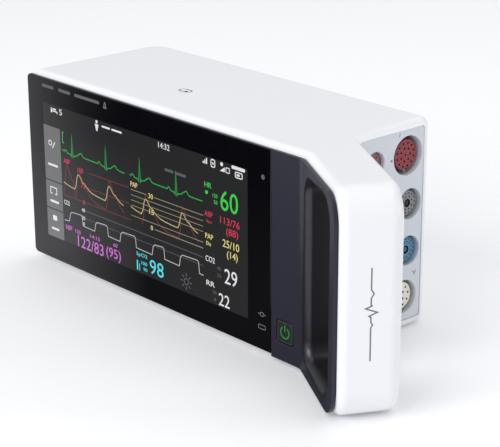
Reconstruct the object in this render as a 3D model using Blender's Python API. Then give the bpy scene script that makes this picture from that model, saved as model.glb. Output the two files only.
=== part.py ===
"""Portable patient monitor: a landscape touchscreen unit with a flared carrying handle and side sockets.

Device frame: X runs along the front from its left edge, Y goes back from the glass, Z is up.
The handle has a frame of its own, turned about Z at the bend where it leaves the front face.
All sizes are in millimetres and become metres in make_object. The world origin is at the
centre of the footprint, on the surface that the rubber feet stand on.
"""

import math

import bmesh
import bpy
from mathutils import Matrix, Vector

MM = 0.001

# Overall shell
SHELL_LEFT = 2.0
SHELL_RIGHT = 191.0
SHELL_FRONT = 1.8
SHELL_BACK = 81.0
SHELL_BOTTOM = 0.6
SHELL_TOP = 97.0
WALL = 2.2
BACK_WALL = 2.5
LID_WALL = 3.5
FRONT_ROUND = 4.0
BACK_ROUND = 4.4
GAP = 0.3

# Dark front face
FACE_LEFT = 0.0
FACE_BOTTOM = 1.8
FACE_TOP = 94.8
GLASS_BOTTOM = 2.8
GLASS_CORNER = 2.5
FACE_THICK = 1.5
GLASS_RIGHT = 174.6
PLATE_FRONT = 2.6
PLATE_BACK = 5.2

# Handle, in its own frame: X along the flare, Y back through its thickness
BEND_X = 192.7
FLARE_DEG = 30.0
HANDLE_LENGTH = 55.5
HANDLE_DEPTH = 28.4
HANDLE_ROOT = -30.0
HANDLE_CORNER = 14.0
HANDLE_WALL = 3.0
HANDLE_FRONT_ROUND = 4.1
GRIP_BACK_ROUND = 6.0
TOP_BACK_ROUND = 3.0
SLOT_LEFT, SLOT_RIGHT = 6.2, 41.5
SLOT_BOTTOM, SLOT_TOP = 9.5, 88.0
SLOT_CORNER = 7.0
MOUTH_ROUND_LEFT, MOUTH_ROUND_RIGHT = 3.8, 5.5
MOUTH_TURN_LEFT, MOUTH_TURN_RIGHT = 60.0, 90.0

# Display
LCD_LEFT, LCD_RIGHT = 8.5, 161.5
LCD_BOTTOM, LCD_TOP = 11.5, 86.0
LCD_FRONT, LCD_BACK = 1.8, 7.0
LIGHT_BAR = (12.0, 62.0, 88.2, 90.4)
SENSOR_X, SENSOR_Z, SENSOR_R = 169.5, 81.5, 1.2
STATUS_BAR = (166.9, 170.7, 11.5, 21.0)

# Power key
KEY_LEFT, KEY_BOTTOM, KEY_SIDE = 178.3, 10.2, 10.0
KEY_TRAVEL = 0.8
KEY_FRONT = 0.1
KEY_CAP_BACK = 2.1
KEY_STEM_INSET = 1.5

# Battery bay in the left side
BAY_FRONT, BAY_BACK = 14.3, 66.8
BAY_BOTTOM, BAY_TOP = 10.0, 38.0
HINGE_X, HINGE_Y = 3.6, 64.4
KNUCKLE_R = 1.6
PIN_R = 0.7
LATCH_TRAVEL = 3.0

# Side sockets: name, y, z, recess radius, insert radius, colour of the insert
SOCKETS = (
    ("pressure", 66.4, 81.9, 8.9, 7.0, (0.42, 0.05, 0.08)),
    ("auxiliary", 68.4, 59.3, 7.0, 5.8, (0.16, 0.16, 0.17)),
    ("oximetry", 68.2, 37.5, 6.8, 6.0, (0.05, 0.22, 0.42)),
    ("ecg", 65.9, 15.9, 7.9, 6.6, (0.78, 0.75, 0.62)),
    ("temperature", 45.9, 81.9, 5.6, 5.1, (0.30, 0.10, 0.09)),
)
AIR_PORT_Y, AIR_PORT_Z, AIR_PORT_R = 45.0, 46.0, 7.5
PANEL_FACE = 190.6
PANEL_BACK = 187.8
PANEL_FRONT_Y, PANEL_BACK_Y = 35.8, 76.4
PANEL_BOTTOM, PANEL_TOP = 4.6, 94.0
COLLAR_INNER_X = 183.0
COLLAR_WALL = 1.3
INSERT_FACE = 188.9
NIPPLE_FACE = 186.2
SOCKET_FLOOR = 183.5

# Back of the unit
PLATE_X = (60.0, 130.0)
PLATE_Z = (12.0, 46.0)
MOUNT_PLATE_BACK = SHELL_BACK + 3.5
MOUNT_SCREWS = ((69.0, 19.0), (121.0, 19.0), (69.0, 39.0), (121.0, 39.0))
CASE_SCREWS = ((20.0, 12.0), (160.0, 12.0), (20.0, 86.0), (160.0, 86.0))
DOCK_X, DOCK_Z = (36.0, 84.0), (52.0, 66.0)
SPEAKER_X, SPEAKER_Z, SPEAKER_R = 122.0, 64.0, 12.5
FOOT_SPOTS = ((17.3, 14.0), (17.3, 69.8), (173.7, 14.0), (173.7, 69.8))
FOOT_R = 5.0
FOOT_TOP = 1.8

FLARE = math.radians(FLARE_DEG)
FACE_END = HANDLE_LENGTH - HANDLE_WALL
WIDTH = (
    BEND_X
    + math.cos(FLARE) * (HANDLE_LENGTH - GRIP_BACK_ROUND)
    + math.sin(FLARE) * (HANDLE_DEPTH - GRIP_BACK_ROUND)
    + GRIP_BACK_ROUND
)
FRONT_MOST = -math.sin(FLARE) * FACE_END
CENTRE = Vector((-WIDTH / 2, -(FRONT_MOST + MOUNT_PLATE_BACK) / 2, 0.0))

PLANES = {
    "XY": lambda u, v, w: (u, v, w),
    "XZ": lambda u, v, w: (u, w, v),
    "YZ": lambda u, v, w: (w, u, v),
}


# Outlines

def fillet(corners, steps=4):
    """Outline from (u, v, radius) corners given counter-clockwise, with round corners as arcs."""
    outline = []
    count = len(corners)
    for i, (u, v, radius) in enumerate(corners):
        here = Vector((u, v))
        if radius <= 0:
            outline.append(here)
            continue
        before = (Vector(corners[i - 1][:2]) - here).normalized()
        after = (Vector(corners[(i + 1) % count][:2]) - here).normalized()
        half = before.angle(after) / 2
        centre = here + (before + after).normalized() * (radius / math.sin(half))
        start = here + before * (radius / math.tan(half)) - centre
        turn = math.pi - 2 * half
        if before.x * after.y - before.y * after.x > 0:
            turn = -turn
        for k in range(steps + 1):
            outline.append(centre + Matrix.Rotation(turn * k / steps, 2) @ start)
    return outline


def rectangle(u0, u1, v0, v1, radius=0.0, steps=3):
    return fillet([(u0, v0, radius), (u1, v0, radius), (u1, v1, radius), (u0, v1, radius)], steps)


def circle(u, v, radius, count=24):
    turns = [2 * math.pi * k / count for k in range(count)]
    return [Vector((u + radius * math.cos(a), v + radius * math.sin(a))) for a in turns]


def inset(outline, amounts):
    """The outline moved inwards, each point by its own amount, along the mitre of its two edges."""
    moved = []
    count = len(outline)
    for i, point in enumerate(outline):
        back = (point - outline[i - 1]).normalized()
        ahead = (outline[(i + 1) % count] - point).normalized()
        normal_back = Vector((-back.y, back.x))
        normal_ahead = Vector((-ahead.y, ahead.x))
        mitre = normal_back + normal_ahead
        moved.append(point + mitre * (2 * amounts[i] / mitre.length_squared))
    return moved


# Objects

def clear_scene():
    for old in list(bpy.data.objects):
        bpy.data.objects.remove(old)


def material(name, colour, roughness, metallic=0.0):
    made = bpy.data.materials.new(name)
    made.use_nodes = True
    shader = made.node_tree.nodes["Principled BSDF"]
    shader.inputs["Base Color"].default_value = (*colour, 1.0)
    shader.inputs["Roughness"].default_value = roughness
    shader.inputs["Metallic"].default_value = metallic
    return made


def empty(name, parent=None, location=(0, 0, 0), turn=0.0):
    made = bpy.data.objects.new(name, None)
    bpy.context.scene.collection.objects.link(made)
    made.parent = parent
    made.location = Vector(location) * MM
    made.rotation_euler.z = turn
    return made


def make_object(name, mesh, paint, parent, pivot=(0, 0, 0), smooth=30.0):
    """Links a bmesh in millimetres as an object in metres, with its origin at the pivot."""
    bmesh.ops.recalc_face_normals(mesh, faces=mesh.faces)
    bmesh.ops.translate(mesh, verts=mesh.verts, vec=-Vector(pivot))
    bmesh.ops.scale(mesh, verts=mesh.verts, vec=(MM, MM, MM))
    data = bpy.data.meshes.new(name)
    mesh.to_mesh(data)
    mesh.free()
    data.shade_smooth()
    data.set_sharp_from_angle(angle=math.radians(smooth))
    made = bpy.data.objects.new(name, data)
    bpy.context.scene.collection.objects.link(made)
    made.parent = parent
    made.location = Vector(pivot) * MM
    if paint:
        data.materials.append(paint)
    return made


def ring_mesh(rings):
    """Closed bmesh through equal rings of 3-D points, capped at both ends."""
    mesh = bmesh.new()
    loops = [[mesh.verts.new(p) for p in ring] for ring in rings]
    for low, high in zip(loops, loops[1:]):
        for i in range(len(low)):
            mesh.faces.new((low[i - 1], low[i], high[i], high[i - 1]))
    mesh.faces.new(loops[0])
    mesh.faces.new(loops[-1])
    return mesh


def slab_mesh(outline, low, high, plane="XY", round_low=0.0, round_high=0.0, steps=3):
    """Outline extruded from low to high, its end edges rounded. A radius may be one per point."""
    count = len(outline)
    to_space = PLANES[plane]
    lows = round_low if hasattr(round_low, "__len__") else [round_low] * count
    highs = round_high if hasattr(round_high, "__len__") else [round_high] * count
    rings = []
    if max(lows) > 0:
        for k in range(steps):
            a = math.pi / 2 * k / steps
            points = inset(outline, [r * (1 - math.sin(a)) for r in lows])
            rings.append([to_space(p.x, p.y, low + r * (1 - math.cos(a))) for p, r in zip(points, lows)])
    rings.append([to_space(p.x, p.y, low + r) for p, r in zip(outline, lows)])
    rings.append([to_space(p.x, p.y, high - r) for p, r in zip(outline, highs)])
    if max(highs) > 0:
        for k in range(1, steps + 1):
            a = math.pi / 2 * k / steps
            points = inset(outline, [r * (1 - math.cos(a)) for r in highs])
            rings.append([to_space(p.x, p.y, high - r + r * math.sin(a)) for p, r in zip(points, highs)])
    return ring_mesh(rings)


def slab(name, outline, low, high, paint, parent, plane="XY", pivot=(0, 0, 0), **rounds):
    return make_object(name, slab_mesh(outline, low, high, plane, **rounds), paint, parent, pivot)


def box(name, x, y, z, paint, parent, pivot=(0, 0, 0), radius=0.0):
    """Block between the given pairs, with its upright corners rounded."""
    return slab(name, rectangle(*x, *y, radius), z[0], z[1], paint, parent, pivot=pivot)


def tool(made):
    """Marks an object as a guide that only shapes another."""
    made.hide_render = True
    made.display_type = "WIRE"
    return made


def combine(target, other, operation):
    """Boolean modifier. The housing has coplanar top faces, which only the MANIFOLD solver joins cleanly."""
    modifier = target.modifiers.new(other.name, "BOOLEAN")
    modifier.operation = operation
    modifier.solver = "MANIFOLD" if target.name == "rear_housing" else "EXACT"
    modifier.object = tool(other)


def cut(target, other):
    combine(target, other, "DIFFERENCE")


def add(target, other):
    combine(target, other, "UNION")


# Materials

def paints():
    return {
        "white": material("white_shell", (0.86, 0.87, 0.89), 0.38),
        "panel": material("socket_panel", (0.62, 0.65, 0.70), 0.45),
        "dark": material("dark_frame", (0.035, 0.035, 0.045), 0.5),
        "glass": material("cover_glass", (0.008, 0.008, 0.010), 0.08),
        "screen": material("screen", (0.02, 0.02, 0.022), 0.2),
        "rubber": material("rubber", (0.05, 0.05, 0.05), 0.8),
        "metal": material("sheet_aluminium", (0.62, 0.63, 0.64), 0.4, 1.0),
        "steel": material("screw_steel", (0.5, 0.5, 0.52), 0.3, 1.0),
        "board": material("circuit_board", (0.02, 0.16, 0.07), 0.5),
        "black": material("moulded_black", (0.02, 0.02, 0.022), 0.45),
        "battery": material("battery_case", (0.10, 0.10, 0.11), 0.5),
        "clear": material("light_guide", (0.25, 0.25, 0.26), 0.3),
        "hose": material("air_hose", (0.75, 0.78, 0.80), 0.5),
    }


# Shell and front

def handle_outline(margin_bottom=0.0, margin_top=0.0, margin_end=0.0, root=HANDLE_ROOT, steps=5):
    """Handle outline in its own X and Z, with the two outer corners round."""
    corner = HANDLE_CORNER - margin_end
    return fillet(
        [
            (root, SHELL_BOTTOM + margin_bottom, 0),
            (HANDLE_LENGTH - margin_end, SHELL_BOTTOM + margin_bottom, corner),
            (HANDLE_LENGTH - margin_end, SHELL_TOP - margin_top, corner),
            (root, SHELL_TOP - margin_top, 0),
        ],
        steps,
    )


def slot_outline():
    return rectangle(SLOT_LEFT, SLOT_RIGHT, SLOT_BOTTOM, SLOT_TOP, SLOT_CORNER, 4)


def slot_mesh(steps=4):
    """Cutter of the finger slot. Its mouth flares, so that the face rolls softly into the slot."""
    outline = slot_outline()
    share = [(SLOT_RIGHT - p.x) / (SLOT_RIGHT - SLOT_LEFT) for p in outline]
    radii = [MOUTH_ROUND_RIGHT + (MOUTH_ROUND_LEFT - MOUTH_ROUND_RIGHT) * s for s in share]
    turns = [math.radians(MOUTH_TURN_RIGHT + (MOUTH_TURN_LEFT - MOUTH_TURN_RIGHT) * s) for s in share]
    rings = [[(p.x, HANDLE_DEPTH + 10, p.y) for p in outline]]
    for k in range(steps + 1):
        angles = [turn * k / steps for turn in turns]
        points = inset(outline, [r * (math.cos(a) - 1) for r, a in zip(radii, angles)])
        rings.append([(p.x, r * (1 - math.sin(a)), p.y) for p, r, a in zip(points, radii, angles)])
    widths = [r * (math.cos(a) - 1) - 8.7 for r, a in zip(radii, turns)]
    points = inset(outline, widths)
    rings.append([(p.x, r * (1 - math.sin(a)) - 5.0, p.y) for p, r, a in zip(points, radii, turns)])
    return ring_mesh(rings)


def trimmed_right_of(mesh, x_limit):
    """Keeps what lies to the right of a plane of the device frame, in a bmesh of the handle frame."""
    turned = Vector((math.cos(FLARE), math.sin(FLARE), 0))
    point = turned * (x_limit - BEND_X)
    geometry = mesh.verts[:] + mesh.edges[:] + mesh.faces[:]
    bmesh.ops.bisect_plane(mesh, geom=geometry, plane_co=point, plane_no=-turned, clear_outer=True)
    bmesh.ops.holes_fill(mesh, edges=mesh.edges)
    return mesh


def handle_back_rounds(outline, depth=0.0):
    """Back edge radius for each point of an outline at this depth: wide along the grip, small elsewhere."""
    start = HANDLE_LENGTH - HANDLE_CORNER
    spread = [min(1.0, max(0.0, (p.x - start) / (HANDLE_CORNER - depth))) for p in outline]
    return [max(0.6, TOP_BACK_ROUND + (GRIP_BACK_ROUND - TOP_BACK_ROUND) * s - depth) for s in spread]


def build_rear_housing(paint, device, handle):
    body = fillet(
        [
            (SHELL_LEFT, SHELL_FRONT, 0),
            (BEND_X + 12.0, SHELL_FRONT, 0),
            (BEND_X + 12.0, 14.0, 0),
            (SHELL_RIGHT, 22.0, 0),
            (SHELL_RIGHT, SHELL_BACK, 5.0),
            (SHELL_LEFT, SHELL_BACK, 11.0),
        ]
    )
    edges = [FRONT_ROUND if p.y < 1 + SHELL_FRONT or p.x > SHELL_RIGHT - 9 else BACK_ROUND for p in body]
    shell = slab("rear_housing", body, SHELL_BOTTOM, SHELL_TOP, paint["white"], device,
                 round_low=edges, round_high=edges)
    outer = handle_outline()
    add(shell, slab("handle_skin", outer, SHELL_FRONT, HANDLE_DEPTH, None, handle, "XZ",
                    round_low=HANDLE_FRONT_ROUND, round_high=handle_back_rounds(outer)))
    cavity = fillet(
        [
            (SHELL_LEFT + WALL, -10, 0),
            (SHELL_RIGHT - WALL, -10, 0),
            (SHELL_RIGHT - WALL, SHELL_BACK - BACK_WALL, 3.0),
            (SHELL_LEFT + WALL, SHELL_BACK - BACK_WALL, 9.0),
        ],
        3,
    )
    cut(shell, slab("cavity", cavity, SHELL_BOTTOM + LID_WALL, SHELL_TOP - LID_WALL, None, device,
                    round_low=2.5, round_high=2.5, steps=2))
    inner = handle_outline(LID_WALL, LID_WALL, HANDLE_WALL)
    pocket = slab_mesh(inner, -10, HANDLE_DEPTH - HANDLE_WALL, "XZ",
                       round_high=handle_back_rounds(inner, HANDLE_WALL))
    cut(shell, make_object("handle_pocket", trimmed_right_of(pocket, SHELL_RIGHT + GAP), None, handle))
    cut(shell, slab("slot_through_skin", slot_outline(), -10, HANDLE_DEPTH + 10, None, handle, "XZ"))
    cut(shell, box("panel_opening", (SHELL_RIGHT - 6, SHELL_RIGHT + 6), (PANEL_FRONT_Y, PANEL_BACK_Y),
                   (PANEL_BOTTOM, PANEL_TOP), None, device))
    cut(shell, box("bay_opening", (SHELL_LEFT - 6, SHELL_LEFT + 4), (BAY_FRONT, BAY_BACK),
                   (BAY_BOTTOM, BAY_TOP), None, device))
    cut(shell, box("dock_opening", DOCK_X, (SHELL_BACK - 6, SHELL_BACK + 6), DOCK_Z, None, device))
    for k in range(-2, 3):
        middle = SPEAKER_X + 4.5 * k
        half = math.sqrt((SPEAKER_R - 2) ** 2 - (4.5 * k) ** 2)
        cut(shell, box(f"grille_slot_{k + 3}", (middle - 1, middle + 1), (SHELL_BACK - 6, SHELL_BACK + 6),
                       (SPEAKER_Z - half, SPEAKER_Z + half), None, device))
    add_bosses_and_holes(shell, device)
    for number, (x, y) in enumerate(FOOT_SPOTS, 1):
        cut(shell, slab(f"foot_recess_{number}", circle(x, y, FOOT_R + GAP, 16), SHELL_BOTTOM - 5,
                        FOOT_TOP + GAP, None, device))
    return shell


def add_bosses_and_holes(shell, device):
    """Inner bosses of the back screws, their holes, and the lugs that hold the door's hinge pin."""
    inner = SHELL_BACK - BACK_WALL
    for number, (x, z) in enumerate(CASE_SCREWS, 1):
        add(shell, slab(f"case_boss_{number}", circle(x, z, 5, 12), inner - 4.5, inner + 1, None, device,
                        "XZ"))
        cut(shell, slab(f"case_bore_{number}", circle(x, z, 1.8, 12), 60, 98, None, device, "XZ"))
        cut(shell, slab(f"case_head_bore_{number}", circle(x, z, 3.2, 16), inner - 0.3, 98, None, device,
                        "XZ"))
    for number, (x, z) in enumerate(MOUNT_SCREWS, 1):
        add(shell, slab(f"mount_boss_{number}", circle(x, z, 4.2, 12), inner - 5.5, inner + 1, None, device,
                        "XZ"))
        cut(shell, slab(f"mount_bore_{number}", circle(x, z, 2.0, 12), 60, 98, None, device, "XZ"))
    for name, low, high in (("upper", BAY_TOP, BAY_TOP + 4), ("lower", BAY_BOTTOM - 4, BAY_BOTTOM)):
        add(shell, box(f"hinge_lug_{name}", (SHELL_LEFT + 1, 6.4), (HINGE_Y - 2.6, HINGE_Y + 2.1),
                       (low, high), None, device))
    cut(shell, slab("hinge_bore", circle(HINGE_X, HINGE_Y, PIN_R + 0.25, 12), BAY_BOTTOM - 3.2,
                    BAY_TOP + 3.2, None, device))


def build_front_frame(paint, device, handle):
    """Dark frame: plate behind the glass, bare face beside it, and the handle's face and inner liner."""
    clear = WALL + GAP
    plate = rectangle(SHELL_LEFT + clear, SHELL_RIGHT - clear, SHELL_BOTTOM + LID_WALL + GAP,
                      SHELL_TOP - LID_WALL - GAP, 3.0)
    frame = slab("front_frame", plate, PLATE_FRONT, PLATE_BACK, paint["dark"], device, "XZ")
    face_left = GLASS_RIGHT + GAP
    add(frame, slab("face_core", rectangle(face_left, SHELL_RIGHT - clear, 6.5, 90.5), 1.0,
                    PLATE_BACK - 1, None, device, "XZ"))
    add(frame, build_bent_face(face_left, device, handle))
    inner = handle_outline(LID_WALL + GAP, LID_WALL + GAP, HANDLE_WALL + GAP)
    liner = slab_mesh(inner, 0.7, HANDLE_DEPTH - HANDLE_WALL - GAP, "XZ",
                      round_high=handle_back_rounds(inner, HANDLE_WALL))
    add(frame, make_object("handle_liner", trimmed_right_of(liner, SHELL_RIGHT + 2 * GAP), None, handle))
    cut(frame, make_object("finger_slot", slot_mesh(), None, handle))
    cut(frame, slab("lcd_window", rectangle(LCD_LEFT - 0.4, LCD_RIGHT + 0.4, LCD_BOTTOM - 0.4,
                                            LCD_TOP + 0.4), -5, 12, None, device, "XZ"))
    for name, margin, depth in (("key_recess", -GAP, KEY_CAP_BACK + KEY_TRAVEL + GAP),
                                ("key_stem_hole", KEY_STEM_INSET - GAP, 12)):
        cut(frame, slab(name, key_outline(margin, 1.3), -5, depth, None, device, "XZ"))
    for name, (x0, x1, z0, z1) in (("light_bar_hole", LIGHT_BAR), ("status_hole", STATUS_BAR)):
        cut(frame, slab(name, rectangle(x0 - GAP, x1 + GAP, z0 - GAP, z1 + GAP), -5, 12, None, device, "XZ"))
    cut(frame, slab("sensor_hole", circle(SENSOR_X, SENSOR_Z, SENSOR_R + GAP, 12), -5, 12, None, device,
                    "XZ"))
    return frame


def build_bent_face(face_left, device, handle):
    """Strip of the face that bends into the handle, trimmed to the round corners of the handle."""
    along = Vector((math.cos(FLARE), -math.sin(FLARE)))
    across = Vector((math.sin(FLARE), math.cos(FLARE)))
    bend, end = Vector((BEND_X, 0)), Vector((BEND_X, 0)) + along * (HANDLE_LENGTH + 5)
    plan = [Vector((face_left, 0)), bend, end, end + across * FACE_THICK,
            Vector((BEND_X + FACE_THICK * math.tan(FLARE / 2), FACE_THICK)), Vector((face_left, FACE_THICK))]
    strip = slab("bent_face", plan, -5, 105, None, device)
    outline = handle_outline(FACE_BOTTOM - SHELL_BOTTOM, SHELL_TOP - FACE_TOP, HANDLE_WALL, -60)
    combine(strip, slab("bent_face_limit", outline, -50, 50, None, handle, "XZ"), "INTERSECT")
    return strip


def build_front_pieces(paint, device):
    glass = fillet([(FACE_LEFT, GLASS_BOTTOM, GLASS_CORNER), (GLASS_RIGHT, GLASS_BOTTOM, 0),
                    (GLASS_RIGHT, FACE_TOP, 0), (FACE_LEFT, FACE_TOP, GLASS_CORNER)])
    slab("touch_glass", glass, 0, FACE_THICK, paint["glass"], device, "XZ")
    gasket = slab("glass_gasket", rectangle(5.2, 172.8, 5.5, 92.5, 2.0), 1.7, 2.4, paint["rubber"], device,
                  "XZ")
    cut(gasket, slab("gasket_inner", rectangle(7.0, 171.0, 7.3, 91.0, 1.0), -5, 9, None, device, "XZ"))
    slab("lcd_panel", rectangle(LCD_LEFT, LCD_RIGHT, LCD_BOTTOM, LCD_TOP, 1.0), LCD_FRONT, LCD_BACK,
         paint["screen"], device, "XZ")
    for name, (x0, x1, z0, z1) in (("alarm_light_guide", LIGHT_BAR), ("status_light_guide", STATUS_BAR)):
        slab(name, rectangle(x0, x1, z0, z1, 0.8), LCD_FRONT, PLATE_BACK, paint["clear"], device, "XZ")
    slab("light_sensor", circle(SENSOR_X, SENSOR_Z, SENSOR_R, 16), LCD_FRONT, PLATE_BACK, paint["clear"],
         device, "XZ")


def key_outline(margin, radius=0.0):
    right, top = KEY_LEFT + KEY_SIDE - margin, KEY_BOTTOM + KEY_SIDE - margin
    return rectangle(KEY_LEFT + margin, right, KEY_BOTTOM + margin, top, radius)


def build_power_key(paint, device):
    """Square key cap on a stem with a retaining flange behind the frame, and the switch it presses."""
    middle = (KEY_LEFT + KEY_SIDE / 2, KEY_FRONT, KEY_BOTTOM + KEY_SIDE / 2)
    key = slab("power_button", key_outline(0, 1.0), KEY_FRONT, KEY_CAP_BACK, paint["dark"], device, "XZ",
               pivot=middle, round_low=0.4, steps=2)
    add(key, slab("key_stem", key_outline(KEY_STEM_INSET, 1.2), 1.8, 6.0, None, device, "XZ"))
    add(key, slab("key_flange", key_outline(0.3), 5.7, 6.7, None, device, "XZ"))
    switch = rectangle(middle[0] - 3, middle[0] + 3, middle[2] - 3, middle[2] + 3)
    body = slab("power_switch", switch, 8.6, 12.7, paint["black"], device, "XZ")
    add(body, slab("switch_plunger", circle(middle[0], middle[2], 1.5, 12), 7.8, 9.0, None, device, "XZ"))


# Battery bay

def build_battery_bay(paint, device):
    hinge = (HINGE_X, HINGE_Y, 0.0)
    low, high = BAY_BOTTOM + GAP, BAY_TOP - GAP
    door = box("battery_door", (SHELL_LEFT, SHELL_LEFT + WALL), (BAY_FRONT + GAP, HINGE_Y), (low, high),
               paint["white"], device, pivot=hinge)
    add(door, slab("knuckle", circle(HINGE_X, HINGE_Y, KNUCKLE_R, 16), low, high, None, device))
    cut(door, slab("knuckle_bore", circle(HINGE_X, HINGE_Y, PIN_R + 0.25, 12), 0, 60, None, device))
    cut(door, box("latch_window", (0, 9), (17.6, 29.4), (19.7, 28.3), None, device))
    slab("door_hinge_pin", circle(HINGE_X, HINGE_Y, PIN_R, 12), BAY_BOTTOM - 3, BAY_TOP + 3,
         paint["steel"], device)
    latch = box("battery_latch", (2.0, 4.9), (21.0, 29.0), (20.0, 28.0), paint["dark"], device,
                pivot=(HINGE_X, 25.0, 24.0))
    add(latch, box("latch_tongue", (4.5, 5.5), (14.8, 31.5), (18.0, 30.0), None, device))
    for k in range(3):
        middle = 23.0 + 2.0 * k
        add(latch, box(f"latch_ridge_{k + 1}", (1.5, 2.6), (middle - 0.4, middle + 0.4), (21.5, 26.5), None,
                       device))
    tray = box("battery_tray", (5.8, 82.0), (15.3, 64.5), (10.3, 37.7), paint["black"], device)
    cut(tray, box("tray_inner", (0, 90), (17.0, 62.8), (12.0, 36.0), None, device))
    box("battery_pack", (8.0, 82.0), (17.4, 62.4), (12.4, 35.6), paint["battery"], device, radius=3.0)
    box("battery_contacts", (82.5, 90.0), (30.0, 50.0), (16.0, 32.0), paint["black"], device)


# Side sockets

def build_side_panel(paint, device):
    panel = slab("connector_panel",
                 rectangle(PANEL_FRONT_Y + GAP, PANEL_BACK_Y - GAP, PANEL_BOTTOM + GAP, PANEL_TOP - GAP, 1.5),
                 PANEL_BACK, PANEL_FACE, paint["panel"], device, "YZ")
    holes = [(name, y, z, radius) for name, y, z, radius, _, _ in SOCKETS]
    holes.append(("air_port", AIR_PORT_Y, AIR_PORT_Z, AIR_PORT_R))
    for name, y, z, radius in holes:
        add(panel, slab(f"{name}_collar", circle(y, z, radius + COLLAR_WALL), COLLAR_INNER_X,
                        PANEL_BACK + 0.4, None, device, "YZ"))
    for name, y, z, radius in holes:
        cut(panel, slab(f"{name}_hole", circle(y, z, radius), 170, 200, None, device, "YZ"))
    for name, y, z, radius, insert, colour in SOCKETS:
        slab(f"{name}_socket", circle(y, z, radius - GAP), 173.2, SOCKET_FLOOR, paint["black"], device, "YZ")
        tint = material(f"{name}_insert_plastic", colour, 0.45)
        slab(f"{name}_insert", circle(y, z, insert), SOCKET_FLOOR + 0.2, INSERT_FACE, tint, device, "YZ",
             round_high=0.4, steps=1)
    port = slab("air_port", circle(AIR_PORT_Y, AIR_PORT_Z, AIR_PORT_R - GAP), 179.0, SOCKET_FLOOR,
                paint["steel"], device, "YZ")
    add(port, slab("air_nipple", circle(AIR_PORT_Y, AIR_PORT_Z, 3.0, 16), 182.0, NIPPLE_FACE, None, device,
                   "YZ"))
    add(port, slab("air_barb", circle(AIR_PORT_Y, AIR_PORT_Z, 2.2, 16), 173.0, 180.0, None, device, "YZ"))
    cut(port, slab("air_way", circle(AIR_PORT_Y, AIR_PORT_Z, 1.2, 12), 165, 195, None, device, "YZ"))


# Inside

def build_boards_and_chassis(paint, device):
    back = SHELL_BACK - 8.0
    channel = [(8.5, 8.0), (back, 8.0), (back, 16.0), (back - 1.5, 16.0), (back - 1.5, 9.5), (10.0, 9.5),
               (10.0, 88.5), (back - 1.5, 88.5), (back - 1.5, 82.0), (back, 82.0), (back, 90.0), (8.5, 90.0)]
    chassis = slab("chassis", [Vector(p) for p in channel], 8.0, 168.0, paint["metal"], device, "YZ")
    for number, (x, z) in enumerate(CASE_SCREWS, 1):
        cut(chassis, slab(f"chassis_bore_{number}", circle(x, z, 1.8, 12), 60, 80, None, device, "XZ"))
    cut(chassis, box("cable_slot", (68.0, 98.0), (0, 12), (19.0, 25.0), None, device))
    slab("main_board", rectangle(12.0, 187.0, 11.0, 87.0, 1.0), 13.0, 14.6, paint["board"], device, "XZ")
    fins = [Vector((100.0, 15.0))]
    for k in range(6):
        left = 100.0 + 7.0 * k
        fins += [Vector((left, 26.0)), Vector((left + 3.0, 26.0))]
        if k < 5:
            fins += [Vector((left + 3.0, 18.0)), Vector((left + 7.0, 18.0))]
    fins.append(Vector((138.0, 15.0)))
    slab("processor_heatsink", fins, 44.0, 76.0, paint["metal"], device)
    box("wireless_module", (20.0, 52.0), (15.0, 18.0), (62.0, 84.0), paint["metal"], device, radius=1.0)
    box("power_board", (12.0, 92.0), (22.0, 70.0), (42.0, 43.6), paint["board"], device)
    measuring = slab("measurement_board", rectangle(20.0, 76.0, 8.0, 90.0), 170.0, 171.6, paint["board"],
                     device, "YZ")
    cut(measuring, slab("hose_passage", circle(AIR_PORT_Y, AIR_PORT_Z, 6.0, 16), 160, 180, None, device,
                        "YZ"))
    ribbon = [(7.3, 20.6), (7.7, 20.6), (7.7, 21.8), (12.7, 21.8), (12.7, 22.2), (7.3, 22.2)]
    slab("display_cable", [Vector(p) for p in ribbon], 72.0, 94.0, paint["black"], device, "YZ")


def build_pump(paint, device):
    """Cuff pump: motor, shaft with its eccentric, and head, with the valve block and the air hose."""
    y, z = 52.0, 26.0
    motor = slab("pump_motor", circle(y, z, 11.0), 98.0, 124.0, paint["metal"], device, "YZ", round_low=1.0,
                 steps=1)
    cut(motor, slab("motor_bore", circle(y, z, 1.8, 12), 112.0, 130.0, None, device, "YZ"))
    head = box("pump_head", (124.4, 150.0), (39.0, 65.0), (13.0, 39.0), paint["black"], device, radius=3.0)
    cut(head, slab("crank_space", circle(y, z, 8.0, 16), 127.0, 140.0, None, device, "YZ"))
    cut(head, slab("head_bore", circle(y, z, 1.8, 12), 120.0, 146.0, None, device, "YZ"))
    rotor = slab("pump_rotor", circle(y, z, 1.3, 12), 113.0, 145.0, paint["steel"], device, "YZ",
                 pivot=(113.0, y, z))
    add(rotor, slab("eccentric", circle(y + 1.5, z, 5.0, 16), 129.0, 136.0, None, device, "YZ"))
    box("valve_block", (98.0, 150.0), (40.0, 64.0), (44.0, 54.0), paint["black"], device)
    for name, x in (("fill_valve", 110.0), ("release_valve", 136.0)):
        slab(name, circle(x, 52.0, 5.0, 16), 54.3, 64.0, paint["metal"], device)
    route = [(150.4, 52, 49), (153, 52, 49), (156, 51.4, 48.8), (159, 50, 48), (162, 48.2, 47.1),
             (165, 46.5, 46.4), (168, 45.4, 46.1), (170.5, 45, 46), (172.7, 45, 46)]
    line = bpy.data.curves.new("air_hose", "CURVE")
    line.dimensions = "3D"
    line.bevel_depth = 2.6 * MM
    line.bevel_resolution = 2
    line.use_fill_caps = True
    spline = line.splines.new("POLY")
    spline.points.add(len(route) - 1)
    for point, place in zip(spline.points, route):
        point.co = (*(Vector(place) * MM), 1.0)
    line.materials.append(paint["hose"])
    hose = bpy.data.objects.new("air_hose", line)
    bpy.context.scene.collection.objects.link(hose)
    hose.parent = device


# Back and underside

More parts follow.
